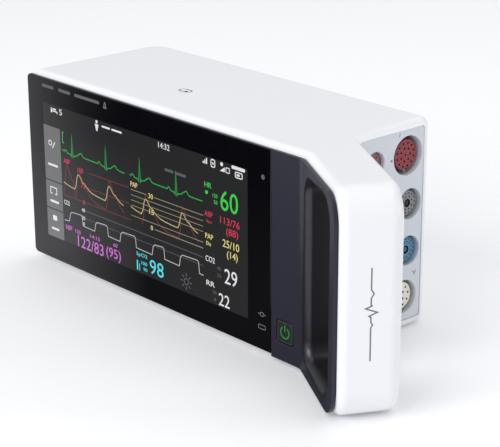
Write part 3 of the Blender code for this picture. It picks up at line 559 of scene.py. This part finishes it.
def build_dark_face():
    """The dark frame: plate behind the glass, bare face beside it, finger slot with its soft mouth."""
    clear = WALL + GAP
    face_left = GLASS_RIGHT + GAP
    strip = linked("bent_strip", bent_face_mesh(face_left))
    limit = handle_outline(FACE_BOTTOM - SHELL_BOTTOM, SHELL_TOP - FACE_TOP, HANDLE_WALL, -60)
    shaped(strip, [("INTERSECT", slab_mesh(limit, -50, 50, "XZ"), HANDLE, None)])
    plate = rectangle(SHELL_LEFT + clear, SHELL_RIGHT - clear, SHELL_BOTTOM + LID_WALL + GAP,
                      SHELL_TOP - LID_WALL - GAP, 3.0)
    face = linked("dark_face", slab_mesh(plate, PLATE_FRONT, PLATE_BACK, "XZ"), paint="dark_frame")
    strip_mesh = bmesh.new()
    strip_mesh.from_mesh(strip.data)
    bpy.data.objects.remove(strip)
    inner = handle_outline(LID_WALL + GAP, LID_WALL + GAP, HANDLE_WALL + GAP)
    liner = slab_mesh(inner, 0.7, HANDLE_DEPTH - HANDLE_WALL - GAP, "XZ",
                      round_high=handle_back_rounds(inner, HANDLE_WALL))
    shaped(face, [
        joined(slab_mesh(rectangle(face_left, SHELL_RIGHT - clear, 6.5, 90.5), 1.0, PLATE_BACK - 1, "XZ")),
        joined(strip_mesh, Matrix.Identity(4)),
        joined(trimmed_right_of(liner, SHELL_RIGHT + 2 * GAP), HANDLE),
        cut(slot_mesh(), HANDLE, "slot_lining"),
        cut(slab_mesh(rectangle(LCD[0] - 0.4, LCD[1] + 0.4, LCD[2] - 0.4, LCD[3] + 0.4), -5, 12, "XZ")),
        cut(mouth_mesh(key_outline(-GAP, 1.3), "XZ", KEY_CAP_BACK + KEY_TRAVEL + GAP, 0.0, 0.35)),
        cut(slab_mesh(key_outline(KEY_STEM_INSET - GAP, 1.3), -5, 12, "XZ")),
    ])
    finished(face, slot="dark_frame", replaces=["front_frame"])


def build_glass():
    """Black-printed cover glass with the display set flush in its window."""
    outline = fillet([(0, GLASS_BOTTOM, GLASS_CORNER), (GLASS_RIGHT, GLASS_BOTTOM, 0.4),
                      (GLASS_RIGHT, FACE_TOP, 0.4), (0, FACE_TOP, GLASS_CORNER)])
    built("cover_glass", slab_mesh(outline, 0, FACE_THICK, "XZ", round_low=0.35, steps=4), "cover_glass",
          [cut(slab_mesh(rectangle(*SCREEN), -3, 5, "XZ"))], slot="cover_glass", replaces=["touch_glass"])
    built("display_ground", slab_mesh(rectangle(*SCREEN), SCREEN_FRONT, FACE_THICK, "XZ"), "screen",
          slot="screen")


# Display image: everything below is in the display plane, X and Z of the device frame

# Layers from the lowest to the highest, each with its colour and strength
UI_COLOURS = {
    "panel": ((0.85, 0.86, 0.88), 0.17),
    "dim": ((0.80, 0.82, 0.85), 0.13),
    "faint_red": ((0.85, 0.16, 0.20), 0.22),
    "faint_yellow": ((0.90, 0.84, 0.55), 0.30),
    "trace_yellow": ((1.0, 0.84, 0.38), 0.50),
    "trace_green": ((0.06, 0.72, 0.14), 0.50),
    "trace_white": ((0.92, 0.93, 0.96), 0.55),
    "red": ((0.85, 0.06, 0.13), 0.75),
    "yellow": ((1.0, 0.85, 0.28), 0.80),
    "green": ((0.07, 0.76, 0.10), 0.78),
    "magenta": ((0.72, 0.20, 0.78), 0.82),
    "cyan": ((0.12, 0.80, 0.90), 0.85),
    "white": ((0.95, 0.96, 1.0), 0.80),
}
UI_LAYERS = list(UI_COLOURS)
UI_DEPTH, UI_STEP = 0.03, 0.003
# Text by layer: the words and their box, as left, right, bottom and top
UI_TEXT = {
    "white": (
        ("5", 25.4, 27.6, 78.7, 81.6), ("14:32", 100.3, 108.2, 79.1, 81.8), ("CO2", 26.5, 31.0, 34.0, 36.4),
        ("40", 40.8, 43.2, 33.8, 35.6), ("20", 40.8, 43.2, 29.8, 31.6), ("0", 41.6, 42.7, 26.9, 28.6),
        ("CO2", 132.0, 138.2, 34.0, 36.6), ("29", 144.7, 153.0, 26.8, 33.8),
        ("RR", 132.4, 138.0, 22.6, 25.0), ("22", 140.7, 147.9, 15.4, 21.2)),
    "green": (
        ("HR", 131.8, 136.4, 68.4, 70.8), ("120", 137.3, 140.4, 64.9, 66.6),
        ("50", 138.0, 140.4, 62.0, 63.7), ("60", 142.4, 153.8, 60.4, 69.6)),
    "red": (
        ("ABP", 27.4, 32.4, 55.3, 57.6), ("150", 38.6, 42.8, 53.2, 55.6), ("75", 41.0, 44.2, 46.0, 48.3),
        ("0", 42.0, 43.5, 37.6, 39.9), ("ABP", 131.6, 137.0, 55.0, 57.5), ("Sys", 132.8, 136.4, 51.8, 53.6),
        ("113/76", 142.1, 154.8, 54.2, 57.4), ("(88)", 146.0, 153.8, 48.8, 53.0)),
    "yellow": (
        ("PAP", 79.4, 84.4, 55.9, 58.3), ("30", 92.4, 95.6, 53.3, 55.7), ("15", 92.8, 96.0, 45.8, 48.2),
        ("0", 93.6, 95.1, 38.2, 40.5), ("PAP", 132.0, 137.2, 44.7, 47.1), ("Dia", 132.6, 135.8, 41.6, 43.4),
        ("25/10", 143.6, 154.4, 43.7, 47.2), ("(14)", 146.4, 153.4, 38.3, 42.5)),
    "dim": (
        ("45", 139.6, 142.4, 31.8, 33.4), ("25", 139.6, 142.4, 28.4, 30.0),
        ("30", 136.6, 139.2, 19.6, 21.2), ("8", 137.6, 138.9, 16.2, 17.8)),
    "magenta": (
        ("NBP", 27.2, 32.2, 21.4, 23.8), ("120", 34.8, 39.0, 21.4, 23.3), ("14:15", 46.6, 54.4, 21.9, 23.8),
        ("60", 64.8, 68.0, 22.4, 24.2), ("122/83", 36.6, 57.0, 14.9, 20.7),
        ("(95)", 59.2, 70.4, 14.9, 21.2)),
    "cyan": (
        ("SpO2", 82.4, 90.4, 22.4, 24.8), ("100", 86.0, 90.2, 19.2, 20.9), ("90", 87.4, 90.2, 16.4, 18.1),
        ("98", 92.2, 102.2, 16.6, 23.6)),
}
BEATS = (34.6, 60.9, 86.2, 112.2)


def ecg_trace():
    """Two runs of the heart trace: low wave, spike and recovery wave round each beat."""
    beat = ((-6.2, 0.1), (-5.4, 1.2), (-4.6, 1.0), (-3.9, -0.1), (-1.2, -0.4), (-0.6, -1.2), (0.0, 9.6),
            (0.7, -1.4), (1.3, -0.6), (3.6, -0.1), (6.2, 1.7), (7.4, 2.0), (8.6, 0.6), (10.2, 0.2))
    runs = [[(26.6, 61.9)], [(78.9, 61.6)]]
    for k, middle in enumerate(BEATS):
        runs[k // 2] += [(middle + u, 61.0 + v) for u, v in beat if middle + u > 27.0]
    runs[0].append((75.2, 61.0))
    runs[1].append((130.3, 61.2))
    return runs


def pressure_trace(foot, peak, starts, end):
    """Fast rise, rounded peak, notch and slow fall, once for each start."""
    shape = ((0.0, 0.0), (1.2, 0.25), (2.0, 0.72), (2.9, 0.97), (3.6, 1.0), (4.6, 0.9), (6.0, 0.66),
             (7.2, 0.55), (8.0, 0.56), (9.4, 0.40), (11.4, 0.24), (14.0, 0.12), (18.0, 0.05), (22.6, 0.01))
    points = []
    for number, start in enumerate(starts):
        limit = starts[number + 1] if number + 1 < len(starts) else end
        points += [(start + u, foot + (peak - foot) * v) for u, v in shape if start + u < limit - 0.4]
    return points


def gas_trace():
    points = [(26.4, 25.8)]
    for left, right, top in ((30.3, 41.0, 31.6), (50.5, 60.9, 31.6), (70.1, 82.2, 31.8), (94.1, 103.0, 32.0),
                             (113.7, 127.4, 32.4)):
        points += [(left, 26.2), (left + 0.9, top - 1.6), (left + 2.2, top - 0.4), (right - 1.0, top),
                   (right - 0.2, top - 0.8), (right + 0.3, 26.5)]
    return points + [(130.5, 26.4)]


def build_display():
    layers = {name: bmesh.new() for name in UI_LAYERS}

    def span(name):
        return SCREEN_FRONT, SCREEN_FRONT - UI_DEPTH - UI_STEP * UI_LAYERS.index(name)

    def line(name, points, width=0.45, closed=False):
        stroke(layers[name], points, width, *span(name), closed=closed)

    def solid(name, outline):
        slab_mesh(outline, *reversed(span(name)), "XZ", mesh=layers[name])

    def fill(name, u0, u1, v0, v1, radius=0.0):
        solid(name, rectangle(u0, u1, v0, v1, radius, 3))

    for low, high in ((44.0, 71.5), (29.5, 43.4), (14.6, 28.9)):
        fill("panel", SCREEN[0], 25.3, low, high)
    line("white", ring_points(16.9, 63.0, 1.2), 0.5, closed=True)
    line("white", [(18.6, 60.6), (20.8, 64.0)], 0.6)
    fill("white", 14.4, 22.4, 51.4, 52.5, 0.3)
    line("white", [(17.0, 37.2), (15.6, 37.2), (15.6, 40.4), (20.6, 40.4), (20.6, 37.2), (19.2, 37.2)], 0.55)
    fill("white", 15.0, 22.0, 32.6, 33.8, 0.3)
    fill("white", 16.6, 20.0, 23.4, 26.0, 0.5)
    fill("white", 15.2, 21.4, 18.4, 19.5, 0.3)

    line("white", [(19.0, 81.2), (19.0, 78.7), (19.0, 79.6), (23.6, 79.6), (23.6, 78.7)], 0.5)
    fill("white", 20.0, 22.8, 80.2, 81.0, 0.3)
    solid("white", circle(54.9, 81.5, 0.8, 16))
    solid("white", [Vector(p) for p in ((54.5, 77.0), (55.3, 77.0), (56.3, 80.3), (53.5, 80.3))])
    fill("white", 58.8, 65.0, 79.7, 80.6, 0.35)
    fill("white", 66.2, 73.8, 79.7, 80.6, 0.35)
    fill("dim", 104.5, 110.6, 69.2, 70.5, 0.4)
    fill("dim", 111.8, 119.2, 69.2, 70.5, 0.4)
    for k in range(3):
        fill("white", 130.9 + 1.1 * k, 131.6 + 1.1 * k, 79.0, 79.9 + 0.9 * k)
    line("white", rectangle(136.4, 138.9, 78.6, 81.9, 0.7, 2), 0.5, closed=True)
    line("white", [(137.2, 80.2), (138.1, 80.2)], 0.9)
    solid("white", circle(143.4, 81.2, 0.9, 16))
    solid("white", [Vector(p) for p in ((142.2, 78.0), (145.4, 78.0), (145.4, 80.2))])
    line("white", rectangle(146.2, 148.4, 78.1, 80.3, 0.3, 2), 0.4, closed=True)
    fill("white", 149.8, 158.4, 80.8, 82.3, 0.6)
    line("white", rectangle(152.2, 156.6, 77.4, 79.8, 0.6, 2), 0.5, closed=True)
    fill("white", 153.1, 155.0, 78.1, 79.1, 0.1)

    line("green", [(28.2, 70.6), (27.2, 70.6), (27.2, 65.4), (28.2, 65.4)], 0.35)
    for run in ecg_trace():
        line("trace_green", run, 0.50)
    solid("green", circle(133.2, 66.1, 0.9, 12))

    for level, start, end in ((54.5, 47.6, 78.0), (46.8, 44.2, 78.0), (38.9, 26.8, 79.0)):
        line("faint_red", [(start, level), (end, level + 0.3)], 0.35)
    line("faint_red", pressure_trace(39.6, 54.4, (26.6, 36.0, 60.0), 78.0), 0.4)
    line("faint_red", pressure_trace(39.6, 54.6, (87.4, 113.4), 130.4), 0.4)

    for level in (51.8, 49.3, 46.8, 41.8):
        line("faint_yellow", [(79.4, level), (130.5, level + 0.3)], 0.3)
    line("faint_yellow", [(79.4, 54.4), (90.6, 54.5)], 0.35)
    line("faint_yellow", [(96.6, 54.5), (130.6, 54.7)], 0.35)
    line("faint_yellow", [(96.4, 39.1), (130.4, 39.3)], 0.4)
    line("trace_yellow", [(26.8, 45.4), (30.0, 44.6), (33.0, 44.1)]
         + pressure_trace(43.9, 51.8, (35.6, 59.6), 75.6), 0.46)
    line("trace_yellow", [(79.2, 45.9), (83.0, 44.9)]
         + pressure_trace(44.3, 52.2, (86.9, 113.0), 130.6), 0.46)

    line("dim", [(43.8, 34.7), (130.3, 35.0)], 0.35)
    line("dim", [(43.8, 30.7), (130.3, 31.0)], 0.25)
    line("trace_white", gas_trace(), 0.36)

    line("cyan", [(83.0, 15.8), (83.0, 20.6)], 0.9)
    line("cyan", [(84.6, 15.8), (84.6, 19.2)], 0.4)

    line("dim", ring_points(118.4, 19.9, 1.5, count=16), 0.5, closed=True)
    for k in range(8):
        a = math.radians(45 * k)
        line("dim", [(118.4 + r * math.cos(a), 19.9 + r * math.sin(a)) for r in (2.4, 3.9)], 0.55)

    for name, rows in UI_TEXT.items():
        for words, *box in rows:
            lettering(layers[name], words, *box, *span(name))
    for name, mesh in layers.items():
        piece = linked(f"ui_{name}", mesh)
        colour, strength = UI_COLOURS[name]
        piece.data.materials.append(lit(f"ui_{name}_light", colour, strength))
        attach(piece, "device")


MARK_BACK, MARK_FRONT = 0.02, -0.03


def build_bezel_marks():
    """Alarm lamp bars, small symbols and the light sensor, just proud of the glass."""
    marks = bmesh.new()
    for left, right in ((12.2, 21.6), (25.5, 34.9), (38.2, 57.5)):
        slab_mesh(rectangle(left, right, 90.3, 91.8, 0.6, 4), MARK_FRONT, MARK_BACK, "XZ", mesh=marks)
    slab_mesh(circle(169.7, 81.6, 1.1, 24), MARK_FRONT, MARK_BACK, "XZ", mesh=marks)
    built("bezel_lamps", marks, "print_dim", slot="light_guide")
    bell = [(60.7, 89.5), (61.1, 90.0), (61.2, 91.4), (61.7, 92.0), (62.2, 91.4), (62.3, 90.0), (62.7, 89.5)]
    symbols = bmesh.new()
    for points, width, closed in (
            (bell, 0.45, True), (rectangle(166.8, 171.2, 12.6, 14.4, 0.4, 3), 0.3, True),
            ([(166.6, 19.4), (168.0, 19.4)], 0.3, False),
            (rectangle(168.0, 170.0, 18.6, 20.2, 0.4, 3), 0.3, True),
            ([(170.0, 19.4), (171.4, 19.4)], 0.3, False)):
        stroke(symbols, points, width, MARK_BACK, MARK_FRONT, closed=closed)
    built("bezel_symbols", symbols, "print_grey", slot="light_guide")


def build_power_key():
    middle = (KEY_LEFT + KEY_SIDE / 2, KEY_BOTTOM + KEY_SIDE / 2)
    built("power_key", slab_mesh(key_outline(0, 1.0), KEY_FRONT, KEY_CAP_BACK, "XZ", round_low=0.4, steps=5),
          "key", [joined(slab_mesh(key_outline(KEY_STEM_INSET, 1.2), 1.8, 6.0, "XZ")),
                  joined(slab_mesh(key_outline(0.3), 5.7, 6.7, "XZ"))],
          body="power_button", slot="dark_frame", replaces=["power_button"])
    symbol = bmesh.new()
    for points in (ring_points(*middle, 2.55, 122, 418, 28),
                   [(middle[0], middle[1] + 0.5), (middle[0], middle[1] + 3.4)]):
        stroke(symbol, points, 0.62, KEY_FRONT + 0.02, KEY_FRONT - 0.05)
    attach(linked("power_symbol", symbol, paint="key_green"), "power_button")
    border = bmesh.new()
    stroke(border, key_outline(0.75, 0.8), 0.16, KEY_FRONT + 0.02, KEY_FRONT - 0.03, closed=True)
    built("power_key_border", border, "print_dim", body="power_button", slot="dark_frame")


# Side sockets

def contact_spots(pattern):
    """Places of contacts from rings of (radius, count, first angle)."""
    spots = []
    for radius, count, first in pattern:
        turns = [math.radians(first + 360 * k / count) for k in range(count)]
        spots += [(radius * math.cos(a), radius * math.sin(a)) for a in turns]
    return spots


CONTACTS = {
    "pressure": (0.50, ((5.3, 12, 15), (3.0, 7, 0), (0.0, 1, 0))),
    "auxiliary": (0.36, ((4.5, 14, 0), (3.0, 8, 20))),
    "oximetry": (0.34, ((4.9, 16, 0), (3.6, 12, 15))),
    "ecg": (0.52, ((4.7, 9, 10), (2.2, 4, 45))),
    "temperature": (0.42, ((3.3, 7, 0), (0.0, 1, 0))),
}


def build_sockets():
    holes = [(name, y, z, r) for name, y, z, r, _ in SOCKETS] + [("air_port", *AIR_PORT)]
    panel = linked("socket_panel", slab_mesh(
        rectangle(PANEL_FRONT_Y + SEAM, PANEL_BACK_Y - SEAM, PANEL_BOTTOM + SEAM, PANEL_TOP - SEAM, 1.7),
        PANEL_BACK, PANEL_FACE, "YZ", round_high=0.3, steps=3), paint="socket_panel")
    steps = [joined(slab_mesh(circle(y, z, r + COLLAR_WALL), COLLAR_INNER_X, PANEL_BACK + 0.4, "YZ"))
             for _, y, z, r in holes]
    steps += [cut(mouth_mesh(circle(y, z, r), "YZ", 170, PANEL_FACE, 0.5)) for _, y, z, r in holes]
    shaped(panel, steps)
    finished(panel, slot="socket_panel", replaces=["connector_panel"])
    for name, y, z, _, radius in SOCKETS:
        slot = f"{name}_insert_plastic"
        hole, pattern = CONTACTS[name]
        drill = bmesh.new()
        for dy, dz in contact_spots(pattern):
            slab_mesh(circle(y + dy, z + dz, hole, 16), INSERT_FACE - 1.8, INSERT_FACE + 2, "YZ", mesh=drill)
        # The cut walls of the contact holes and centre bores take the near-black hole paint: painted shade
        steps = [cut(drill, paint="hole")]
        if name in ("auxiliary", "oximetry"):
            steps.append(cut(slab_mesh(circle(y, z, 1.9, 32), INSERT_FACE - 1.2, INSERT_FACE + 2, "YZ"),
                             paint="hole"))
        if name in ("pressure", "ecg"):
            notch = rectangle(y - 1.3, y + 1.3, z - radius - 2, z - radius + 0.9, 0.4, 4)
            steps.append(cut(slab_mesh(notch, INSERT_FACE - 1.6, INSERT_FACE + 2, "YZ")))
        built(f"{name}_plug_face", slab_mesh(circle(y, z, radius), SOCKET_FLOOR + 0.2, INSERT_FACE, "YZ",
                                             round_high=0.5, steps=4), slot, steps, slot=slot,
              replaces=[f"{name}_insert"])
    inserts = {name: (y, z, radius) for name, y, z, _, radius in SOCKETS}
    # The auxiliary core takes the same near-black hole paint, as painted shade in its bore; the oximetry core
    # is its own teal
    for name, paint in (("auxiliary", "hole"), ("oximetry", "teal")):
        y, z, _ = inserts[name]
        core = slab_mesh(circle(y, z, 1.3, 32), INSERT_FACE - 1.2, INSERT_FACE - 0.1, "YZ", round_high=0.5,
                         steps=4)
        built(f"{name}_core", core, paint, slot=f"{name}_insert_plastic")
    for name in ("pressure", "ecg"):
        y, z, radius = inserts[name]
        tab = slab_mesh(rectangle(y - 0.9, y + 0.9, z - radius - 1.0, z - radius + 0.6, 0.4, 4),
                        SOCKET_FLOOR + 0.1, INSERT_FACE - 0.5, "YZ", round_high=0.3, steps=3)
        built(f"{name}_key_tab", tab, "print_grey", slot="screw_steel")


def build_panel_marks():
    marks = bmesh.new()
    depth = (PANEL_FACE - 0.02, PANEL_FACE + 0.05)
    stroke(marks, [(60.4, 91.4), (60.9, 93.0)], 0.35, *depth, plane="YZ")
    slab_mesh(circle(55.9, 81.6, 0.55, 20), *depth, "YZ", mesh=marks)
    stroke(marks, [(71.2, 27.2), (72.0, 26.2), (73.0, 26.2), (73.6, 27.2)], 0.4, *depth, plane="YZ")
    stroke(marks, [(72.5, 26.0), (72.5, 24.9)], 0.4, *depth, plane="YZ")
    for y, z in ((58.6, 66.8), (58.8, 43.6), (40.2, 73.2)):
        stroke(marks, ring_points(y, z, 0.7, count=14), 0.25, *depth, plane="YZ", closed=True)
    built("panel_marks", marks, "print_grey", slot="socket_panel")


def build_shell_marks():
    """A plain pulse line along the grip and a small outline symbol on the lid."""
    line = bmesh.new()
    centre, low, high = 14.5, 28.0, 67.0
    pulse = ((0, low), (0, 42.0), (0.7, 43.2), (0, 44.4), (0, 46.4), (-0.8, 47.0), (2.6, 48.4), (-2.2, 50.2),
             (0.4, 51.2), (0, 51.8), (0, 54.4), (1.1, 56.2), (0, 58.0), (0, high))
    stroke(line, [(centre + u, v) for u, v in pulse], 0.60, HANDLE_LENGTH - 0.05, HANDLE_LENGTH + 0.02,
           plane="YZ")
    finished(linked("grip_pulse_line", line, HANDLE, "print_grey"), slot="white_shell")
    symbol = bmesh.new()
    sunk = SHELL_TOP - 0.05
    stroke(symbol, rectangle(81.6, 88.0, 27.4, 31.4, 1.6, 5), 0.55, sunk, SHELL_TOP, plane="XY", closed=True)
    slab_mesh(circle(86.0, 28.8, 0.9, 20), sunk, SHELL_TOP, mesh=symbol)
    built("lid_symbol", symbol, "print_grey", slot="white_shell")


# Left side and back

def build_battery_door():
    low, high = BAY_BOTTOM + GAP, BAY_TOP - GAP
    door = slab_mesh(rectangle(BAY_FRONT + GAP, HINGE_Y, low, high, 0.8), SHELL_LEFT, SHELL_LEFT + WALL, "YZ",
                     round_low=0.35, steps=4)
    steps = [joined(slab_mesh(circle(HINGE_X, HINGE_Y, KNUCKLE_R, 32), low, high)),
             cut(slab_mesh(circle(HINGE_X, HINGE_Y, PIN_BORE_R, 20), 0, 60)),
             cut(mouth_mesh(rectangle(*LATCH_WINDOW, 1.0), "YZ", 9, SHELL_LEFT, 0.3))]
    for k in range(6):
        groove = rectangle(36.0 + 4.0 * k, 37.6 + 4.0 * k, 15.0, 33.0, 0.75, 4)
        steps.append(cut(slab_mesh(groove, SHELL_LEFT - 2, SHELL_LEFT + 0.6, "YZ")))
    built("battery_cover", door, "white_shell", steps, body="battery_door", slot="white_shell",
          replaces=["battery_door"])
    latch = slab_mesh(rectangle(*LATCH, 0.8), 2.0, 4.9, "YZ", round_low=0.3, steps=3)
    steps = [joined(block_mesh((4.5, 5.5), (14.8, 31.5), (18.0, 30.0)))]
    for k in range(3):
        ridge = rectangle(22.6 + 2.0 * k, 23.4 + 2.0 * k, 21.5, 26.5, 0.38, 4)
        steps.append(joined(slab_mesh(ridge, 1.5, 2.6, "YZ", round_low=0.2, steps=3)))
    built("battery_slide", latch, "dark_frame", steps, body="battery_latch", slot="dark_frame",
          replaces=["battery_latch"])


def dock_outline(margin, radius=1.0):
    return rectangle(DOCK_X[0] + margin, DOCK_X[1] - margin, DOCK_Z[0] + margin, DOCK_Z[1] - margin, radius)


def build_mount_plate():
    plate = slab_mesh(rectangle(*PLATE_X, *PLATE_Z, 3.0), SHELL_BACK + GAP, MOUNT_PLATE_BACK, "XZ",
                      round_high=0.6, steps=4)
    steps = []
    for low, high in ((PLATE_Z[0] - 5, PLATE_Z[0] + 2), (PLATE_Z[1] - 2, PLATE_Z[1] + 5)):
        steps.append(cut(block_mesh((50, 140), (SHELL_BACK + 1.2, SHELL_BACK + 2.4), (low, high))))
    for x, z in MOUNT_SCREWS:
        steps.append(cut(slab_mesh(circle(x, z, MOUNT_BORE_R, 24), *THROUGH_BACK, "XZ")))
        steps.append(cut(mouth_mesh(circle(x, z, 3.8, 40), "XZ", SHELL_BACK + 1.6, MOUNT_PLATE_BACK, 0.35)))
    for k in range(4):
        groove = rectangle(84.0 + 6.0 * k, 87.4 + 6.0 * k, 17, 41, 1.6, 5)
        steps.append(cut(slab_mesh(groove, MOUNT_PLATE_BACK - 0.6, 90, "XZ")))
    built("mount_plate_finished", plate, "socket_panel", steps, slot="socket_panel", replaces=["mount_plate"])


def build_screws():
    """Screws of the mounting plate and of the case, with a star recess each."""
    places = [(f"mount_screw_{n}", x, z, SHELL_BACK + 1.8, 1.6, 3.4, 1.6, 11.8)
              for n, (x, z) in enumerate(MOUNT_SCREWS, 1)]
    places += [(f"case_screw_{n}", x, z, SHELL_BACK - BACK_WALL, 1.8, 2.9, 1.5, 7.7)
               for n, (x, z) in enumerate(CASE_SCREWS, 1)]
    for name, x, z, seat, height, head, shank, length in places:
        top = slab_mesh(circle(x, z, head, 32), seat, seat + height, "XZ", round_high=0.5, steps=4)
        star = [Vector((x + r * math.cos(a), z + r * math.sin(a))) for r, a in
                ((1.45 if k % 2 else 1.0, math.pi * k / 6) for k in range(12))]
        steps = [joined(slab_mesh(circle(x, z, shank, 16), seat - length, seat + 0.5, "XZ")),
                 cut(slab_mesh(star, seat + height - 1.0, seat + 9, "XZ"))]
        built(f"{name}_finished", top, "screw_steel", steps, slot="screw_steel", replaces=[name])


def build_dock():
    dock = slab_mesh(dock_outline(GAP), DOCK_FLOOR - 2, DOCK_FACE, "XZ", round_high=0.3, steps=3)
    mouth = cut(mouth_mesh(dock_outline(2), "XZ", DOCK_FLOOR, DOCK_FACE, 0.4))
    built("dock_socket", dock, "moulded_black", [mouth], slot="moulded_black",
          replaces=["dock_connector_shell"])
    block = slab_mesh(rectangle(DOCK_X[0] + 5, DOCK_X[1] - 5, 56.5, 61.5, 0.8), DOCK_FLOOR + GAP,
                      DOCK_FLOOR + 2.2, "XZ", round_high=0.3, steps=3)
    built("dock_contacts", block, "moulded_black", slot="moulded_black", replaces=["dock_contact_block"])
    pins = bmesh.new()
    for k in range(14):
        for z in (57.9, 60.1):
            x = DOCK_X[0] + 8.6 + 2.37 * k
            pin = rectangle(x - 0.5, x + 0.5, z - 0.6, z + 0.6, 0.3, 3)
            slab_mesh(pin, DOCK_FLOOR + 2, DOCK_FLOOR + 2.6, "XZ", mesh=pins)
    built("dock_pins", pins, "gold", slot="screw_steel")


def build_feet():
    """Rubber pads with a round groove in their soles."""
    for number, (x, y) in enumerate(FOOT_SPOTS, 1):
        groove = revolved(((2.0, -0.5), (2.6, -0.5), (2.6, 0.35), (2.0, 0.35)), (x, y))
        built(f"foot_pad_{number}", slab_mesh(circle(x, y, FOOT_R), 0.0, FOOT_TOP, round_low=0.5, steps=4),
              "rubber", [cut(groove)], slot="rubber", replaces=[f"foot_{number}"])


def paint_frame_nodes():
    """Gives every CAD node that still shows its procedural finish."""
    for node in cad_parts.values():
        for place in node.material_slots:
            place.material = PAINT[place.material.name.split(".")[0]]


# Stage

def soft_light(name, position, target, size, power):
    data = bpy.data.lights.new(name, "AREA")
    data.shape, data.size, data.size_y = "RECTANGLE", *size
    data.energy = power
    made = placed(name, data)
    made.location = position
    made.rotation_euler = (Vector(target) - Vector(position)).to_track_quat("-Z", "Y").to_euler()


def build_stage():
    mesh = bmesh.new()
    bmesh.ops.create_grid(mesh, x_segments=8, y_segments=8, size=4.0)
    floor = placed("floor", bpy.data.meshes.new("floor"))
    mesh.to_mesh(floor.data)
    mesh.free()
    pale = surface("floor_pale", (0.93, 0.93, 0.94), 0.6, vary=0.01, large=3.0, bump=0.02, level=0.2)
    fed(pale.node_tree.nodes["Principled BSDF"], {"Emission Color": (0.97, 0.98, 1.0, 1.0),
                                                  "Emission Strength": 0.08})
    floor.data.materials.append(pale)
    bpy.context.scene.view_settings.view_transform = "Standard"
    world = bpy.data.worlds.new("studio")
    world.use_nodes = True
    fed(world.node_tree.nodes["Background"], {"Color": (0.96, 0.975, 1.0, 1.0), "Strength": 0.55})
    bpy.context.scene.world = world
    soft_light("key_light", (0.15, -1.65, 1.085), (0.0, 0, 0.05), (1.35, 1.35), 22.5)
    soft_light("top_light", (-0.1, 0.1, 1.4), (0, 0, 0.05), (1.4, 1.4), 4.6)
    soft_light("side_light", (1.0, 1.0, 0.40), (0.1, 0, 0.05), (0.7, 0.7), 3.4)
    soft_light("back_light", (-0.3, 1.2, 0.9), (0, 0, 0.05), (1.2, 0.8), 1.5)


# Place of the camera in the device frame, and in plan where the glass mirrors it
CAMERA_PLACE, MIRRORED_EYE = (664.74, -453.60, 297.51), (664.7, 453.6)
FLAG_HEIGHT, FLAG_REACHES = 0.4, (0, 250, 400)


def build_flag():
    """Black flag on the floor, seen only in reflections, fading out towards the left end of the glass."""
    mesh = bmesh.new()
    cover = mesh.loops.layers.float_color.new("cover")
    eye = Vector(MIRRORED_EYE)
    shades, lines = {}, []
    for x in range(-10, 251, 10):
        near = Vector((x, 0.0))
        away = (near - eye).normalized()
        line = [mesh.verts.new((*(near + away * reach), FLAG_HEIGHT)) for reach in FLAG_REACHES]
        shades[line[0]] = min(0.90, max(0.0, (x - 27) / 68.0))
        shades[line[1]] = shades[line[2]] = 0.99 - 0.71 * min(1.0, max(0.0, 1 - x / 75.0)) ** 2
        lines.append(line)
    for left, right in zip(lines, lines[1:]):
        for k in range(2):
            for corner in mesh.faces.new((left[k], right[k], right[k + 1], left[k + 1])).loops:
                corner[cover] = (*[shades[corner.vert]] * 3, 1.0)
    flag = linked("studio_flag", mesh)
    black = bpy.data.materials.new("flag_black")
    black.use_nodes = True
    nodes, links = black.node_tree.nodes, black.node_tree.links
    fed(nodes["Principled BSDF"], {"Base Color": (0.0, 0.0, 0.0, 1.0), "Specular IOR Level": 0.0})
    share = nodes.new("ShaderNodeAttribute")
    share.attribute_name = "cover"
    links.new(share.outputs["Fac"], nodes["Principled BSDF"].inputs["Alpha"])
    flag.data.materials.append(black)
    flag.visible_camera = flag.visible_diffuse = flag.visible_shadow = flag.visible_transmission = False


def build_camera():
    data = bpy.data.cameras.new("camera")
    data.sensor_width, data.lens, data.clip_start = 36.0, 121.45, 0.01
    made = placed("camera", data)
    turn = (Matrix.Rotation(math.radians(47.97), 3, "Z") @ Matrix.Rotation(math.radians(90 - 19.4), 3, "X")
            @ Matrix.Rotation(math.radians(-0.17), 3, "Z"))
    made.matrix_world = Matrix.Translation(DEVICE @ Vector(CAMERA_PLACE)) @ turn.to_4x4()
    bpy.context.scene.camera = made


build_camera()
build_stage()
build_flag()
build_housing()
build_dark_face()
build_glass()
build_display()
build_bezel_marks()
build_power_key()
build_sockets()
build_panel_marks()
build_shell_marks()
build_battery_door()
build_mount_plate()
build_screws()
build_dock()
build_feet()
paint_frame_nodes()
